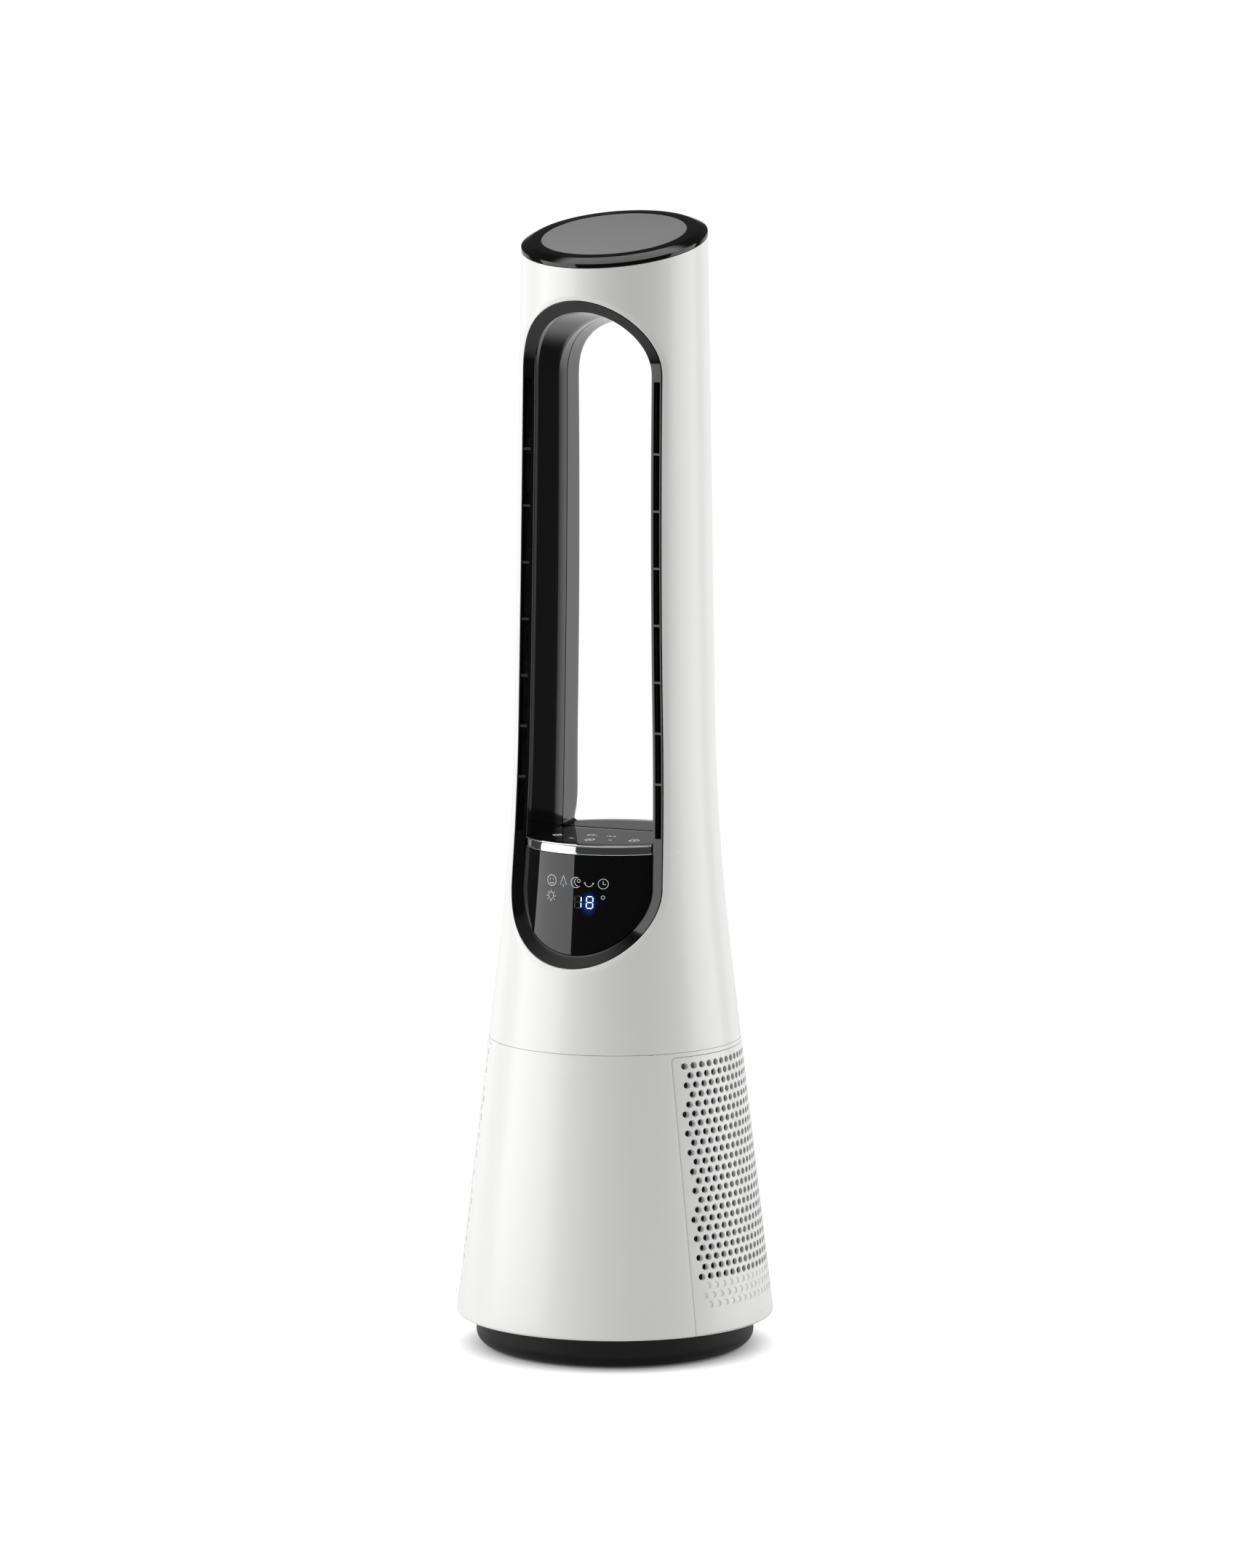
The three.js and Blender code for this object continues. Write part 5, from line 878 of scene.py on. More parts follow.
plinth = solid_between("base_plinth_black", [base_plinth()], BLACK_SATIN)
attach(plinth, "base")
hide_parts("base_plinth")

for number in range(4):
    angle = math.pi / 4 + number * math.pi / 2
    grid = turned(
        [0, PAD_RADIUS - 1.2, PAD_RADIUS - 0.5, PAD_RADIUS - 0.1, PAD_RADIUS, PAD_RADIUS, 0],
        [0, 0, 0.15, 0.5, 1, PAD_HEIGHT, PAD_HEIGHT], full_turn(40),
    ) + np.array([PAD_CIRCLE * math.cos(angle), PAD_CIRCLE * math.sin(angle), 0])
    pad = grid_piece(f"foot_pad_{number + 1}_rubber", grid, RUBBER)
    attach(pad, "base")
    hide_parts(f"foot_pad_{number + 1}")

# Effect of turned or rolled metal: fine lines along one direction that change its shade and gloss
BRUSHED, nodes, links, given, made = new_group(
    "brushed_metal",
    [("Colour", "NodeSocketColor", (0.5, 0.5, 0.5, 1)), ("Gloss", "NodeSocketFloat", 0.3),
     ("Lines", "NodeSocketVector", (40.0, 40.0, 2500.0))],
    [("Colour", "NodeSocketColor"), ("Roughness", "NodeSocketFloat"), ("Height", "NodeSocketFloat")],
)
place = add_node(nodes, "TexCoord")
stretched = add_node(nodes, "VectorMath", operation="MULTIPLY")
lines = add_node(nodes, "TexNoise", {"Scale": 1, "Detail": 3})
shade = add_node(nodes, "MapRange", {"To Min": 0.86, "To Max": 1.08})
tinted = add_node(nodes, "VectorMath", operation="SCALE")
gloss = add_node(nodes, "Math", operation="MULTIPLY")
wire(
    links, (place, "Object", stretched, 0), (given, "Lines", stretched, 1), (stretched, 0, lines, "Vector"),
    (lines, "Fac", shade, "Value"), (given, "Colour", tinted, 0), (shade, "Result", tinted, "Scale"),
    (tinted, 0, made, "Colour"), (given, "Gloss", gloss, 0), (shade, "Result", gloss, 1),
    (gloss, 0, made, "Roughness"), (lines, "Fac", made, "Height"),
)


def metal(name, colour, roughness, lines=(40, 40, 2500), depth=0.000004):
    """A metal with fine lines: colour and gloss go in, lines says how close they stand along each axis."""
    values = {"Colour": (*colour, 1), "Gloss": roughness, "Lines": lines}
    return finish(name, BRUSHED, values, depth, {"Metallic": 1})


STEEL = metal("zinc_plated_steel", (0.32, 0.33, 0.34), 0.34)
dress(STEEL, "ballast_plate", "ballast_screw_1", "ballast_screw_2", "ballast_screw_3")

# ---- Power inlet ---------------------------------------------------------------------------------
# A black moulded socket with two brass pins is pressed into the back of the base. The power lead
# plugs into it.

SOCKET_WIDTH = 16.4
SOCKET_HEIGHT = 8.6
SOCKET_DEPTH = 11
INLET_FACE_Y = math.sqrt(PLINTH_RADIUS**2 - (INLET_WIDTH / 2) ** 2) - FIT


def rounded_loop(width, height, corner, steps=6):
    """A closed rectangle with round corners, as (x, z) round its middle, of as many points for any size."""
    quarter = np.arange(4).repeat(steps + 1)
    turn = (quarter + np.tile(np.linspace(0, 1, steps + 1), 4)) * math.pi / 2
    right = np.where((quarter == 0) | (quarter == 3), 1, -1)
    up = np.where(quarter < 2, 1, -1)
    x = right * (width / 2 - corner) + corner * np.cos(turn)
    z = up * (height / 2 - corner) + corner * np.sin(turn)
    return np.append(x, x[0]), np.append(z, z[0])


def stacked_loops(name, loops, material, sharp=35):
    """A closed piece from loops of (x, y, z) arrays, one after the other, each end closed at its middle."""
    rows = np.array([np.stack([x, y + 0 * x, z + 0 * x], -1) for x, y, z in loops])
    ends = rows[[0, -1]].mean(1, keepdims=True) + 0 * rows[[0, -1]]
    return grid_piece(name, np.concatenate([ends[:1], rows, ends[1:]]), material, sharp)


INLET_LOOPS = [  # (width, height, corner, depth behind the face)
    (INLET_WIDTH, INLET_HEIGHT, 1, INLET_DEPTH),
    (INLET_WIDTH, INLET_HEIGHT, 1, 0.5),
    (INLET_WIDTH - 0.3, INLET_HEIGHT - 0.3, 1, 0.15),
    (INLET_WIDTH - 1, INLET_HEIGHT - 1, 0.8, 0),
    (SOCKET_WIDTH + 0.6, SOCKET_HEIGHT + 0.6, SOCKET_HEIGHT / 2 + 0.3, 0),
    (SOCKET_WIDTH, SOCKET_HEIGHT, SOCKET_HEIGHT / 2, 0.3),
    (SOCKET_WIDTH, SOCKET_HEIGHT, SOCKET_HEIGHT / 2, SOCKET_DEPTH),
]
inlet_loops = []
for width, height, corner, depth in INLET_LOOPS:
    x, z = rounded_loop(width, height, corner)
    inlet_loops.append((x, INLET_FACE_Y - depth, z + INLET_Z))
inlet = stacked_loops("power_inlet_black", inlet_loops, BLACK_SATIN)
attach(inlet, "base")
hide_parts("power_inlet")

BRASS_PIN = metal("plated_pin", (0.62, 0.6, 0.56), 0.2)
for label in ("left", "right"):
    low, high = [np.array(corner) * 1000 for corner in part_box(f"inlet_pin_{label}")]
    middle, radius = (low + high) / 2, (high[0] - low[0]) / 2
    turn = full_turn(16)
    pin = stacked_loops(f"inlet_pin_{label}_metal", [
        (middle[0] + size * radius * np.cos(turn), y, middle[2] + size * radius * np.sin(turn))
        for size, y in ((1, low[1]), (1, high[1] - 0.9), (0.85, high[1] - 0.35), (0.5, high[1]))
    ], BRASS_PIN, 40)
    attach(pin, "base")
    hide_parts(f"inlet_pin_{label}")

# ---- Swing drive ---------------------------------------------------------------------------------
# Inside the base a post carries the turntable, and a small geared motor on the turntable walks its
# pinion round a fixed toothed ring. The wearing parts are pale acetal on grey nylon, none of it
# painted.

PALE_PLASTIC = moulded("pale_acetal", (0.42, 0.44, 0.46), 0.45, drift=0.05)
BOARD_GREEN = moulded("green_board", (0.012, 0.1, 0.045), 0.5, drift=0.25, grain=500, depth=0.00003)
dress(GREY_PLASTIC, "pivot_post", "lock_ring", "turntable")
dress(PALE_PLASTIC, "slide_ring", "sun_gear", "drive_pinion")
dress(STEEL, "swing_motor", *[f"turntable_screw_{number}" for number in range(1, 5)])
dress(BOARD_GREEN, "power_board")

# ---- Fan unit ------------------------------------------------------------------------------------
# A grey housing hangs in a frame where the two casings meet, with a rubber ring between them against
# noise. A pale mixed-flow impeller turns in it under a ring of fixed vanes that holds the motor.

dress(GREY_PLASTIC, "mid_frame", "fan_housing", "stator", "tail_cone", "air_guide")
dress(PALE_PLASTIC, "impeller")
dress(RUBBER, "damper_ring")
dress(STEEL, "impeller_nut", "motor_shaft", "fan_motor", *[f"shell_screw_{number}" for number in range(1, 5)])

# ---- Nozzle ring ---------------------------------------------------------------------------------
# A glossy black ABS ring lines the front opening. Its flange clips behind the white casing, its face
# slopes inwards, and a long slot in each side lets the air out. Its throat turns in to the tunnel.

RING_RECESS = 9.5
RING_THROAT = 8
RING_FLANGE = 5
RING_WALL = 2
RING_EDGE_DEPTH = 0.9
FLANGE_DEPTH = 3.1
SLOT_OUTER = 1.7
SLOT_INNER = 7.4

BLACK_GLOSS = moulded("black_gloss_abs", (0.003, 0.003, 0.0032), 0.08, drift=0.15, grain=300, depth=0.000002)


def ring_slope(inset):
    """Depth of the ring's face under the casing at a distance from the opening's edge: a straight slope."""
    return RING_EDGE_DEPTH + (RING_RECESS - RING_EDGE_DEPTH) * np.clip(inset / RING_WIDTH, 0, 1)


def nozzle_ring():
    """Front and back grids round the opening, and which cells stay beside the slots."""
    inset = np.array([
        -RING_FLANGE, 0.1, 0.35, 0.35, 0.6, SLOT_OUTER, 3.4, 5.5, SLOT_INNER, 9.2, 9.6,
        RING_WIDTH, RING_WIDTH, RING_WIDTH,
    ])
    depth = ring_slope(inset)
    depth[:4] = FLANGE_DEPTH, FLANGE_DEPTH, FLANGE_DEPTH - 0.3, RING_EDGE_DEPTH + 0.5
    forward = np.array([0, 0, 0, 0, 0, 0, 0, 0, 0, 0, 0.1, 0.5, 3, RING_THROAT])
    behind = np.minimum(inset, RING_WIDTH - RING_WALL)
    front, back = [], []
    for out, rear, lower, deeper in zip(inset, behind, depth, forward):
        x, z = front_opening(out)
        front.append(on_casing(x, z, lower, -1) + [0, deeper, 0])
        under_x, under_z = front_opening(rear)
        bottom = on_casing(under_x, under_z, max(ring_slope(rear), FLANGE_DEPTH) + RING_WALL, -1)
        bottom[:, 1] += deeper
        if deeper == RING_THROAT:
            bottom[:, 1] = front[-1][:, 1]
        back.append(bottom)
    middle_z = (z[1:] + z[:-1]) / 2
    beside = (middle_z > SLOT_LOW_Z) & (middle_z < SLOT_HIGH_Z) & (np.abs(x[1:]) > 30)
    open_rows = (inset[:-1] >= SLOT_OUTER) & (inset[1:] <= SLOT_INNER)
    return np.array(front), np.array(back), ~(open_rows[:, None] & beside[None, :])


ring = solid_between("nozzle_ring_gloss", [nozzle_ring()], BLACK_GLOSS, 30)
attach(ring, "tower")
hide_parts("nozzle_ring")

# ---- Vent grilles --------------------------------------------------------------------------------
# Behind each slot a black strip with small bridges keeps the slot's width and straightens the air.
# It is moulded in a slightly lighter black than the ring that holds it.

VENT_DEPTH = 3
VENT_BORDER = 0.7
END_BAR = 2
RIB_LEVEL = np.array([-1.1, -0.95, -0.7, 0.7, 0.95, 1.1])
RIB_DEPTH = np.array([0.4, 0.14, 0.02, 0.02, 0.14, 0.4])
RIB_HEIGHTS = np.array([471.2, 512.4, 553.6, 599.6, 645.6, 691.6, 737.6])

VENT_BLACK = moulded("vent_black_abs", (0.035, 0.035, 0.036), 0.25)


def vent_grille(side):
    """Walls of a strip behind the slot: its border, open in the middle, and bridges that stand in the slot."""
    def across(z, inset, depth):
        x = side * (opening_half_width(np.minimum(z, ARCH_Z)) - inset)
        return on_casing(x, z, ring_slope(inset) + depth, -1)
    z = np.concatenate([[SLOT_LOW_Z - END_BAR], SIDE_Z[1:], [SLOT_HIGH_Z + END_BAR]])[:, None]
    inset = np.array([SLOT_OUTER - VENT_BORDER, SLOT_OUTER, SLOT_INNER - VENT_BORDER, SLOT_INNER])[None, :]
    face = across(z, inset, RING_WALL) + [0, 0.5, 0]
    middle = (z[1:] + z[:-1]) / 2
    ends = (middle < SLOT_LOW_Z) | (middle > SLOT_HIGH_Z)
    walls = [(face, face + [0, VENT_DEPTH, 0], ends | np.array([[True, False, True]]))]
    between = np.linspace(SLOT_OUTER + 0.05, SLOT_INNER - 0.05, 4)[None, :]
    for height in RIB_HEIGHTS:
        level = height + RIB_LEVEL[:, None]
        bridge = across(level, between, RIB_DEPTH[:, None])
        walls.append((bridge, across(level, between, RING_WALL) + [0, VENT_DEPTH, 0]))
    return walls


for side, label in ((-1, "left"), (1, "right")):
    vent = solid_between(f"vent_grille_{label}_black", vent_grille(side), VENT_BLACK, 30)
    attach(vent, "tower")
    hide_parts(f"vent_grille_{label}")

# ---- Tunnel --------------------------------------------------------------------------------------
# The loop is lined in glossy black ABS in two pieces: a liner that starts at the ring's throat, with
# a soft crease in its walls, and a bezel behind it that flares out to the rear opening and runs
# under the shelf.

LINER_WALL = 2
LINER_MOUTH_Y = -60
BAND_HEIGHT = 8.2
BEZEL_FLANGE = 5
REAR_RECESS = 4.5
REAR_SHELF_RECESS = 10
REAR_SHELF_BLEND = 26
GROOVE_WIDTH = 1.1
GROOVE_DEPTH = 1.4


def liner_row(y, out, apex_y):
    """The liner's walls and arch at a depth, without a floor: right side up, over and down, as (x, z)."""
    spread = tunnel_spread(y)
    radius = ARCH_RADIUS - RING_WIDTH + spread + out
    centre_z = tunnel_apex(apex_y) - radius + out
    side = np.linspace(SHELF_Z - BAND_HEIGHT, centre_z, 40)
    half = opening_half_width(side) - RING_WIDTH + spread + out
    arch_x, arch_z = tunnel_arch(radius, centre_z, y, np.linspace(0, math.pi, 2 * ROUND_STEPS)[1:-1])
    return np.concatenate([half, arch_x, -half[::-1]]), np.concatenate([side, arch_z, side[::-1]])


def tunnel_liner():
    """Inner and outer grids of the liner, with close rows at the crease so that it stays crisp."""
    mouth_x, mouth_z = liner_row(LINER_MOUTH_Y, 0, APEX_FRONT_Y)
    mouth_y = on_casing(mouth_x, mouth_z, RING_RECESS, -1)[:, 1] + RING_THROAT + FIT
    grids = []
    for out in (0, LINER_WALL):
        rows = []
        for share in (0, 0.3, 0.6, 0.85, 1):
            y = mouth_y + (CREASE_Y - 0.3 - mouth_y) * share
            x, z = liner_row(LINER_MOUTH_Y, out, APEX_FRONT_Y)
            end_x, end_z = liner_row(CREASE_Y - 0.3, out, CREASE_Y)
            rows.append(np.stack([x + (end_x - x) * share, y, z + (end_z - z) * share], -1))
        for y in (CREASE_Y + 0.3, 7, 13, SEAM_Y - FIT / 2):
            x, z = liner_row(y, out, y)
            rows.append(np.stack([x, y + 0 * x, z], -1))
        grids.append(np.array(rows))
    return grids


def rear_bezel():
    """Outer and inner grids of the bezel: flange behind the casing, edge, lip, and back to the seam."""
    def under(out, drop, corner, depth, deeper=0.0):
        x, z = tunnel_loop(REAR_Y, out, drop, corner)
        return on_casing(x, z, depth + deeper, 1)
    lip_z = tunnel_loop(REAR_Y, 0, 0, REAR_CORNER)[1]
    near = np.clip(1 - (lip_z - SHELF_Z) / REAR_SHELF_BLEND, 0, 1)
    lip_depth = REAR_RECESS + (REAR_SHELF_RECESS - REAR_RECESS) * near**2
    front, back = [], []
    rows = [
        (REAR_FACE + BEZEL_FLANGE, REAR_SILL + BEZEL_FLANGE, FLANGE_DEPTH + 0 * lip_depth),
        (REAR_FACE + 0.4, REAR_SILL + 0.4, FLANGE_DEPTH + 0 * lip_depth),
        (REAR_FACE, REAR_SILL, FLANGE_DEPTH + 0 * lip_depth),
        (0.5, 0.6, FLANGE_DEPTH + (lip_depth - FLANGE_DEPTH) * 0.9),
        (0.1, 0.1, lip_depth + 0.1), (0, 0, lip_depth + 0.6),
    ]
    for out, drop, depth in rows:
        front.append(under(out, drop, REAR_CORNER + out, depth))
        grown = max(out, LINER_WALL)
        back.append(under(grown, max(drop, LINER_WALL), REAR_CORNER + grown, depth, LINER_WALL))
    for share in (0.2, 0.5, 0.8, 1):
        for grid, out in ((front, 0), (back, LINER_WALL)):
            x, z = tunnel_loop(SEAM_Y, out, out, REAR_CORNER + out)
            seam = np.stack([x, SEAM_Y + FIT / 2 + GROOVE_WIDTH + 0 * x, z], -1)
            grid.append(grid[5] + (seam - grid[5]) * share)
    for depth in (GROOVE_WIDTH, 0):
        for grid, out in ((front, GROOVE_DEPTH), (back, LINER_WALL)):
            x, z = tunnel_loop(SEAM_Y, out, out, REAR_CORNER + out)
            grid.append(np.stack([x, SEAM_Y + FIT / 2 + depth + 0 * x, z], -1))
    return np.array(front), np.array(back)


for name, grids in (("tunnel_liner", tunnel_liner()), ("rear_bezel", rear_bezel())):
    lining = solid_between(f"{name}_gloss", [grids], BLACK_GLOSS, 40)
    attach(lining, "tower")
    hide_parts(name)

# ---- Shelf ---------------------------------------------------------------------------------------
# The floor of the loop is a black glass plate that is touched to work the fan, with its marks
# printed in white, which give off a faint painted glow. It lies in a black tray over its sensor board,
# and a bright chromed band closes the step in front of it.

BAND_RECESS = 9.3
BAND_WIDTH = 2.2
GLASS_TOP_Z = 422.4
GLASS_THICKNESS = 2.6
GLASS_EDGE = 0.12

CHROME = metal("bright_chrome", (0.8, 0.81, 0.82), 0.06, (6, 6, 300), 0.00000005)
TOUCH_GLASS = moulded("black_touch_glass", (0.0035, 0.0035, 0.0038), 0.05, drift=0.2, grain=60, depth=0.0000005)
BAND_RADIUS = float(casing_radius(SHELF_Z)) - BAND_RECESS

band_half = float(opening_half_width(SHELF_Z)) - RING_WIDTH - 0.5
band_turn = math.asin(band_half / BAND_RADIUS) * np.linspace(-1, 1, 65)
band_low = SHELF_Z - BAND_HEIGHT
band_z = np.array([0, 0.15, 0.5, 0.9, 1.1, 1.3, 1.7, 6.5, 6.9, 7.1, 7.3, 7.7, 8.05, 8.2]) + band_low
band_in = np.array([0.4, 0.12, 0, 0.12, 0.4, 0.62, 0.7, 0.7, 0.62, 0.4, 0.12, 0, 0.12, 0.4])
band = solid_between("chrome_band_bright", [(
    turned(BAND_RADIUS - band_in, band_z, band_turn),
    turned(BAND_RADIUS - BAND_WIDTH + 0 * band_in, band_z, band_turn),
)], CHROME, 30)
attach(band, "tower")
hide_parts("chrome_band")


def touch_plate():
    """Top and bottom grids of the glass from the band to the seam: x = u half(y), y from the front arc back."""
    radius = BAND_RADIUS - BAND_WIDTH - 0.5
    across = np.linspace(-1, 1, 41)[None, :]
    back = np.linspace(0, 1, 21)[:, None]
    y = -40 + 0 * across * back
    for _ in range(8):
        half = opening_half_width(SHELF_Z) - RING_WIDTH + tunnel_spread(y) - 0.5
        x = across * half
        front_y = -np.sqrt(radius**2 - x**2)
        y = front_y + (SEAM_Y - FIT / 2 - front_y) * back
    rim = np.maximum(np.abs(across), np.abs(2 * back - 1)) == 1
    top = np.stack([x, y, GLASS_TOP_Z - GLASS_EDGE * rim], -1)
    return top, np.stack([x, y, GLASS_TOP_Z - GLASS_THICKNESS + 0 * x], -1)


touch_glass = solid_between("touch_glass_black", [touch_plate()], TOUCH_GLASS, 30)
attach(touch_glass, "tower")
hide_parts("touch_glass")
dress(BLACK_SATIN, "shelf_tray")
dress(BOARD_GREEN, "touch_board")


LINE_WIDTH = 0.42
INK_TOP = 0.04
INK_BOTTOM = -0.05


def stroke(spots, width=LINE_WIDTH):
    """A drawn line as two rows of points, half its width to each side of the line through the spots."""
    spots = np.asarray(spots, float)
    along = np.gradient(spots, axis=0)
    along /= np.linalg.norm(along, axis=1, keepdims=True)
    across = np.stack([-along[:, 1], along[:, 0]], -1) * width / 2
    return np.stack([spots + across, spots - across])


def arc(middle, radius, start, end, width=LINE_WIDTH, stretch=1.0):
    """A drawn arc round a middle between two angles in degrees, stretched up where it is an ellipse."""
    turn = np.radians(np.linspace(start, end, 25))
    x, y = middle[0] + radius * np.cos(turn), middle[1] + stretch * radius * np.sin(turn)
    return stroke(np.stack([x, y], -1), width)


def printed(name, strokes, laid, material):
    """Drawn lines as thin closed ribbons on a surface: laid turns (u, v) and a height above it into points."""
    walls = [[laid(line[..., 0], line[..., 1], up) for up in (INK_TOP, INK_BOTTOM)] for line in strokes]
    marks = solid_between(name, walls, material, 30)
    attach(marks, "tower")


def on_glass(x, y, up):
    """Points a height over the touch glass."""
    return np.stack([x, y, GLASS_TOP_Z + up + 0 * x], -1)


def lit(name, colour, roughness, glow, strength, drift=0.04):
    """Marks that shine: a pale material that gives off light of its own in the colour of its glow."""
    values = {"Emission Color": (*glow, 1), "Emission Strength": strength}
    return moulded(name, colour, roughness, drift, shader_values=values)


# white print that also gives off a faint light of its own: a painted glow on the ink
PRINTED_WHITE_PAINTED_GLOW = lit("printed_white_painted_glow", (0.8, 0.81, 0.82), 0.5, (1, 1, 1), 0.3, 0.06)
TOUCH_MARKS = [
    arc((-36.5, -32.5), 2.5, -230, 50, 1.4, 1.5), stroke([(-36.5, -32.5), (-36.5, -26.5)], 1.2),
    stroke([(-40.6, -33.5), (-39.4, -31.5)], 1.4), stroke([(-33.4, -31.5), (-32.2, -33.5)], 1.4),
    stroke([(-20.8, -44.2), (-19.6, -42.6), (-18.2, -44.2), (-17.0, -42.6)], 1.5),
    arc((-11.6, -21.4), 2.6, 0, 360, 1.1, 1.4), stroke([(-8.0, -21.4), (-6.4, -21.4)], 1.5),
    arc((-1.8, -45.7), 3.2, 0, 360, 1.1, 1.7), stroke([(-3.0, -45.7), (-0.6, -45.7)], 1.8),
    stroke([(3.0, -23.5), (5.0, -20.8), (7.0, -23.5), (9.0, -20.8), (10.8, -23.5)], 1.8),
    stroke([(12.4, -40.9), (15.6, -40.9)], 1.6),
    arc((33.0, -35.7), 3.4, 0, 360, 1.1, 1.7), stroke([(33.0, -33.4), (33.0, -36.2), (34.6, -36.2)], 1.2),
]
printed("touch_marks", TOUCH_MARKS, on_glass, PRINTED_WHITE_PAINTED_GLOW)

# ---- Display -------------------------------------------------------------------------------------
# A black glass lens fills the foot of the ring, curved like the casing. White marks for the settings
# shine through it, with figures in blue-white light under them; a mask and a lamp board stand behind.

LENS_RECESS = 9.6
LENS_THICKNESS = 2.4
LENS_GAP = 0.5
LENS_TOP_Z = SHELF_Z - BAND_HEIGHT - FIT
GLOW_SPOT = (12, 375.6)
GLOW_REACH = 0.0105
GLOW_STRETCH = (1.25, 0, 0.85)
GLOW_BLUE = (0.006, 0.028, 0.24, 1)
MARK_WHITE = (0.5, 0.53, 0.56)
FIGURE_BLUE = (0.62, 0.78, 1.0)
FIGURE_LOW_Z = 371.8
FIGURE_HEIGHT = 9.4

DISPLAY_LENS = moulded(
    "black_display_glass", (0.0035, 0.0035, 0.0038), 0.045, drift=0.2, grain=60, depth=0.0000005,
    shader_values={"Emission Strength": 1},
)
nodes, links = DISPLAY_LENS.node_tree.nodes, DISPLAY_LENS.node_tree.links
place = add_node(nodes, "TexCoord")
spot = (GLOW_SPOT[0] / 1000, 0, GLOW_SPOT[1] / 1000)
from_spot = add_node(nodes, "VectorMath", {1: spot}, operation="SUBTRACT")
flat = add_node(nodes, "VectorMath", {1: GLOW_STRETCH}, operation="MULTIPLY")
away = add_node(nodes, "VectorMath", operation="LENGTH")
glow = smooth_range(nodes, 0, GLOW_REACH, 1, 0, "SMOOTHERSTEP")
blue = add_node(nodes, "Mix", {"A": (0, 0, 0, 1), "B": GLOW_BLUE}, data_type="RGBA")
wire(
    links, (place, "Object", from_spot, 0), (from_spot, 0, flat, 0), (flat, 0, away, 0),
    (away, "Value", glow, "Value"), (glow, "Result", blue, "Factor"),
    (blue, "Result", nodes["Principled BSDF"], "Emission Color"),
)


def display_lens():
    """Front and back grids of the lens: rows across it from its straight top to the round foot."""
    drop = np.concatenate([np.linspace(LENS_TOP_Z, FOOT_Z, 14)[:-1], FOOT_Z - (
        FOOT_DEPTH - RING_WIDTH - LENS_GAP) * np.sin(np.linspace(0, math.pi / 2, 28))])[:, None]
    below = np.clip((FOOT_Z - drop) / (FOOT_DEPTH - RING_WIDTH - LENS_GAP), 0, 1)
    half = np.where(drop > FOOT_Z, opening_half_width(drop), FOOT_HALF_WIDTH) - RING_WIDTH - LENS_GAP
    x = np.linspace(-1, 1, 49)[None, :] * half * np.sqrt(1 - below**2)
    return on_casing(x, drop, LENS_RECESS, -1), on_casing(x, drop, LENS_RECESS + LENS_THICKNESS, -1)


lens = solid_between("display_lens_glass", [display_lens()], DISPLAY_LENS, 30)
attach(lens, "tower")
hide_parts("display_lens")


def on_lens(x, z, up):
    """Points a height over the display's glass."""
    return on_casing(x, z, LENS_RECESS - up, -1)


def figure(left, right, bars, low=FIGURE_LOW_Z, width=0.85):
    """Bars of a seven-bar figure, by letter: a top, b and c right, d foot, e and f left, g middle."""
    high = low + FIGURE_HEIGHT
    gap, middle = 0.55, (low + high) / 2
    ends = {
        "a": [(left + gap, high), (right - gap, high)], "b": [(right, high - gap), (right, middle + gap)],
        "c": [(right, middle - gap), (right, low + gap)], "d": [(left + gap, low), (right - gap, low)],
        "e": [(left, middle - gap), (left, low + gap)], "f": [(left, high - gap), (left, middle + gap)],
        "g": [(left + gap, middle), (right - gap, middle)],
    }
    return [stroke(ends[bar], width) for bar in bars]


SETTING_MARKS = [
    arc((-22.2, 392.2), 4.3, 0, 360), arc((-22.2, 392.0), 2.3, 215, 325),
    stroke([(-23.9, 393.9), (-23.9, 392.7)]), stroke([(-20.7, 394.0), (-20.7, 392.8)]),
    stroke([(-11.0, 396.7), (-13.7, 389.8), (-7.9, 389.9), (-11.0, 396.7)]),
    stroke([(-10.9, 389.8), (-10.9, 387.6)]),
    arc((0.5, 392.1), 4.2, 62, 322), arc((2.9, 392.7), 3.5, 118, 258), arc((3.0, 393.5), 1.3, 0, 360),
    arc((11.7, 392.6), 3.4, 196, 344), arc((8.2, 392.0), 0.45, 0, 360), arc((15.1, 391.8), 0.45, 0, 360),
    arc((23.1, 391.7), 3.95, 0, 360),
    stroke([(22.95, 394.2), (22.95, 391.4)]), stroke([(22.8, 391.3), (25.2, 391.3)]),
    arc((-22.4, 380.0), 2.6, -58, 238),
    stroke([(-23.5, 376.9), (-21.3, 376.9)]), stroke([(-23.1, 375.5), (-21.7, 375.5)]),
    stroke([(-22.5, 383.4), (-22.5, 384.5)]),
    stroke([(-27.1, 379.4), (-26.0, 379.4)]), stroke([(-18.8, 379.8), (-17.7, 379.8)]),
    stroke([(-25.9, 383.0), (-25.1, 382.2)]), stroke([(-18.9, 383.3), (-19.7, 382.5)]),
    stroke([(-26.0, 376.5), (-25.2, 377.2)]), stroke([(-18.6, 376.8), (-19.4, 377.5)]),
    arc((23.3, 380.8), 1.4, 0, 360),
]
LIT_WHITE = lit("lit_white", MARK_WHITE, 0.4, MARK_WHITE, 0.42)
LIT_BLUE_WHITE = lit("lit_blue_white", FIGURE_BLUE, 0.4, FIGURE_BLUE, 0.95)
UNLIT_BARS = moulded("unlit_bars", (0.026, 0.027, 0.031), 0.25)
printed("setting_marks", SETTING_MARKS, on_lens, LIT_WHITE)
printed("lit_figures", figure(0.2, 5.6, "bc") + figure(10.2, 15.4, "abcdefg"), on_lens, LIT_BLUE_WHITE)
printed("dark_figures", figure(-10.2, -4.8, "abcdefg", 371.9) + figure(0.2, 5.6, "adefg"), on_lens, UNLIT_BARS)
dress(BLACK_SATIN, "display_mask")
dress(BOARD_GREEN, "display_board")

# ---- Cap -----------------------------------------------------------------------------------------
# A glossy black ABS cap closes the slanting top of the column, with a bevel round a flat rim, and a
# smoked glass disc with a fine satin etch is let into it.

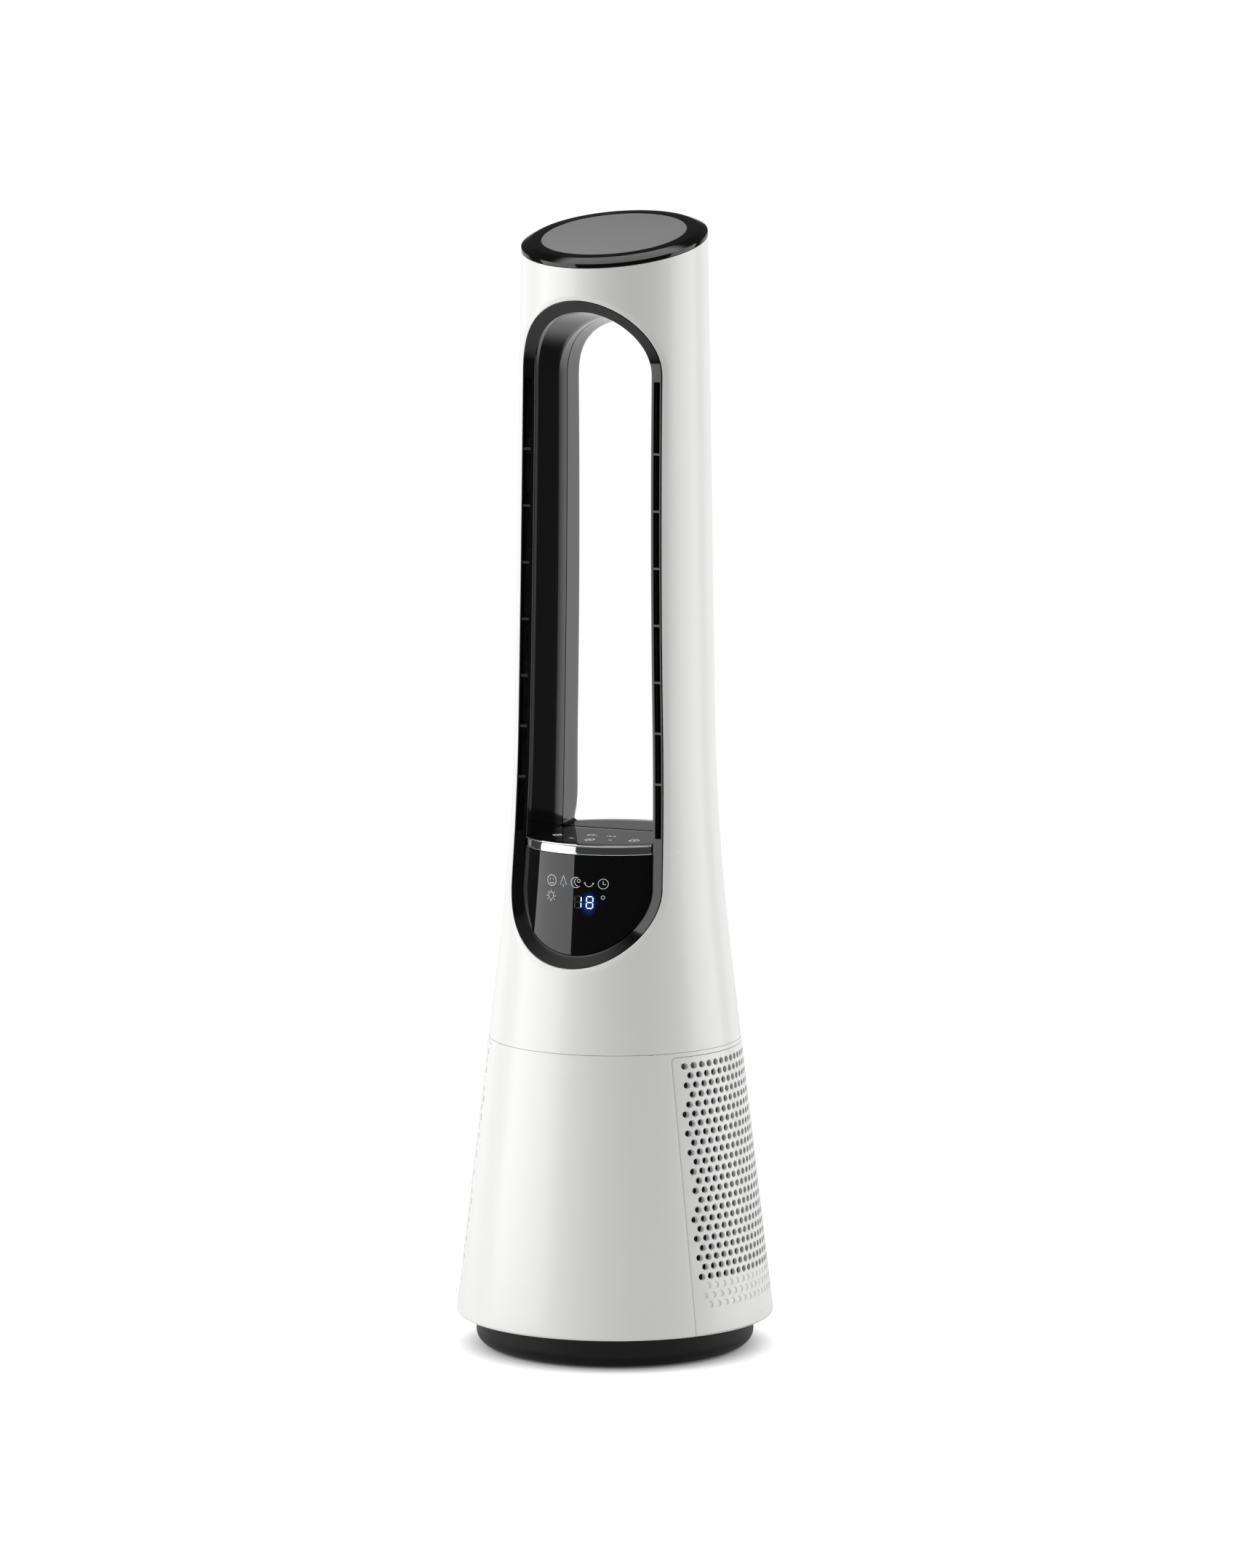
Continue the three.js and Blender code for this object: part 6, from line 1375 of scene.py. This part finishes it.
CAP_BAND = 3.6
CAP_BEVEL = 7.4
CAP_BEVEL_HEIGHT = 3.4
CAP_FLAT = 8.9
CAP_GLASS_DEPTH = 2.4
CAP_FLOOR = 2
CAP_SKIRT = 7
CAP_SKIRT_RADIUS = 4.8

SMOKED_GLASS = moulded("smoked_satin_glass", (0.33, 0.332, 0.336), 0.42, drift=0.12, grain=420, depth=0.00001)
CAP_RADIUS = float(casing_radius(CROWN_Z))
CAP_TOP = CAP_BAND + CAP_BEVEL_HEIGHT
CAP_GLASS_RADIUS = CAP_RADIUS - CAP_BEVEL - CAP_FLAT


def capped_piece(name, cad_name, radius, z, material):
    """A turned piece stretched along the slope of the crown, laid on its tilt and lifted to its height."""
    grid = turned(radius, z, full_turn(144))
    slope, drop = math.cos(CROWN_TILT), math.sin(CROWN_TILT)
    x, y, up = grid[..., 0], grid[..., 1] / slope, grid[..., 2]
    slanted = np.stack([x, y * slope - up * drop, y * drop + up * slope + CROWN_Z], -1)
    made = grid_piece(name, slanted, material, 25)
    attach(made, "tower")
    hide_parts(cad_name)


cap_skirt = CAP_RADIUS - CAP_SKIRT_RADIUS
cap_floor = CAP_TOP - CAP_GLASS_DEPTH - FIT
capped_piece(
    "top_cap_gloss", "top_cap",
    [0, cap_skirt - 2, cap_skirt - 2, cap_skirt, cap_skirt, CAP_RADIUS - 0.4, CAP_RADIUS, CAP_RADIUS,
     CAP_RADIUS - 0.12, CAP_RADIUS - 0.5, CAP_RADIUS - CAP_BEVEL + 0.5, CAP_RADIUS - CAP_BEVEL - 0.2,
     CAP_GLASS_RADIUS + 0.3, CAP_GLASS_RADIUS, CAP_GLASS_RADIUS, 0],
    [cap_floor - CAP_FLOOR, cap_floor - CAP_FLOOR, -CAP_SKIRT, -CAP_SKIRT, FIT, FIT, FIT + 0.4, CAP_BAND - 0.4,
     CAP_BAND - 0.1, CAP_BAND + 0.15, CAP_TOP - 0.2, CAP_TOP, CAP_TOP, CAP_TOP - 0.3, cap_floor, cap_floor],
    BLACK_GLOSS,
)
glass_edge = CAP_GLASS_RADIUS - FIT
capped_piece(
    "cap_glass_smoked", "cap_glass", [0, glass_edge, glass_edge, glass_edge - 0.3, glass_edge - 0.8, 0],
    [CAP_TOP - CAP_GLASS_DEPTH, CAP_TOP - CAP_GLASS_DEPTH, CAP_TOP - 0.5, CAP_TOP - 0.12, CAP_TOP, CAP_TOP],
    SMOKED_GLASS,
)
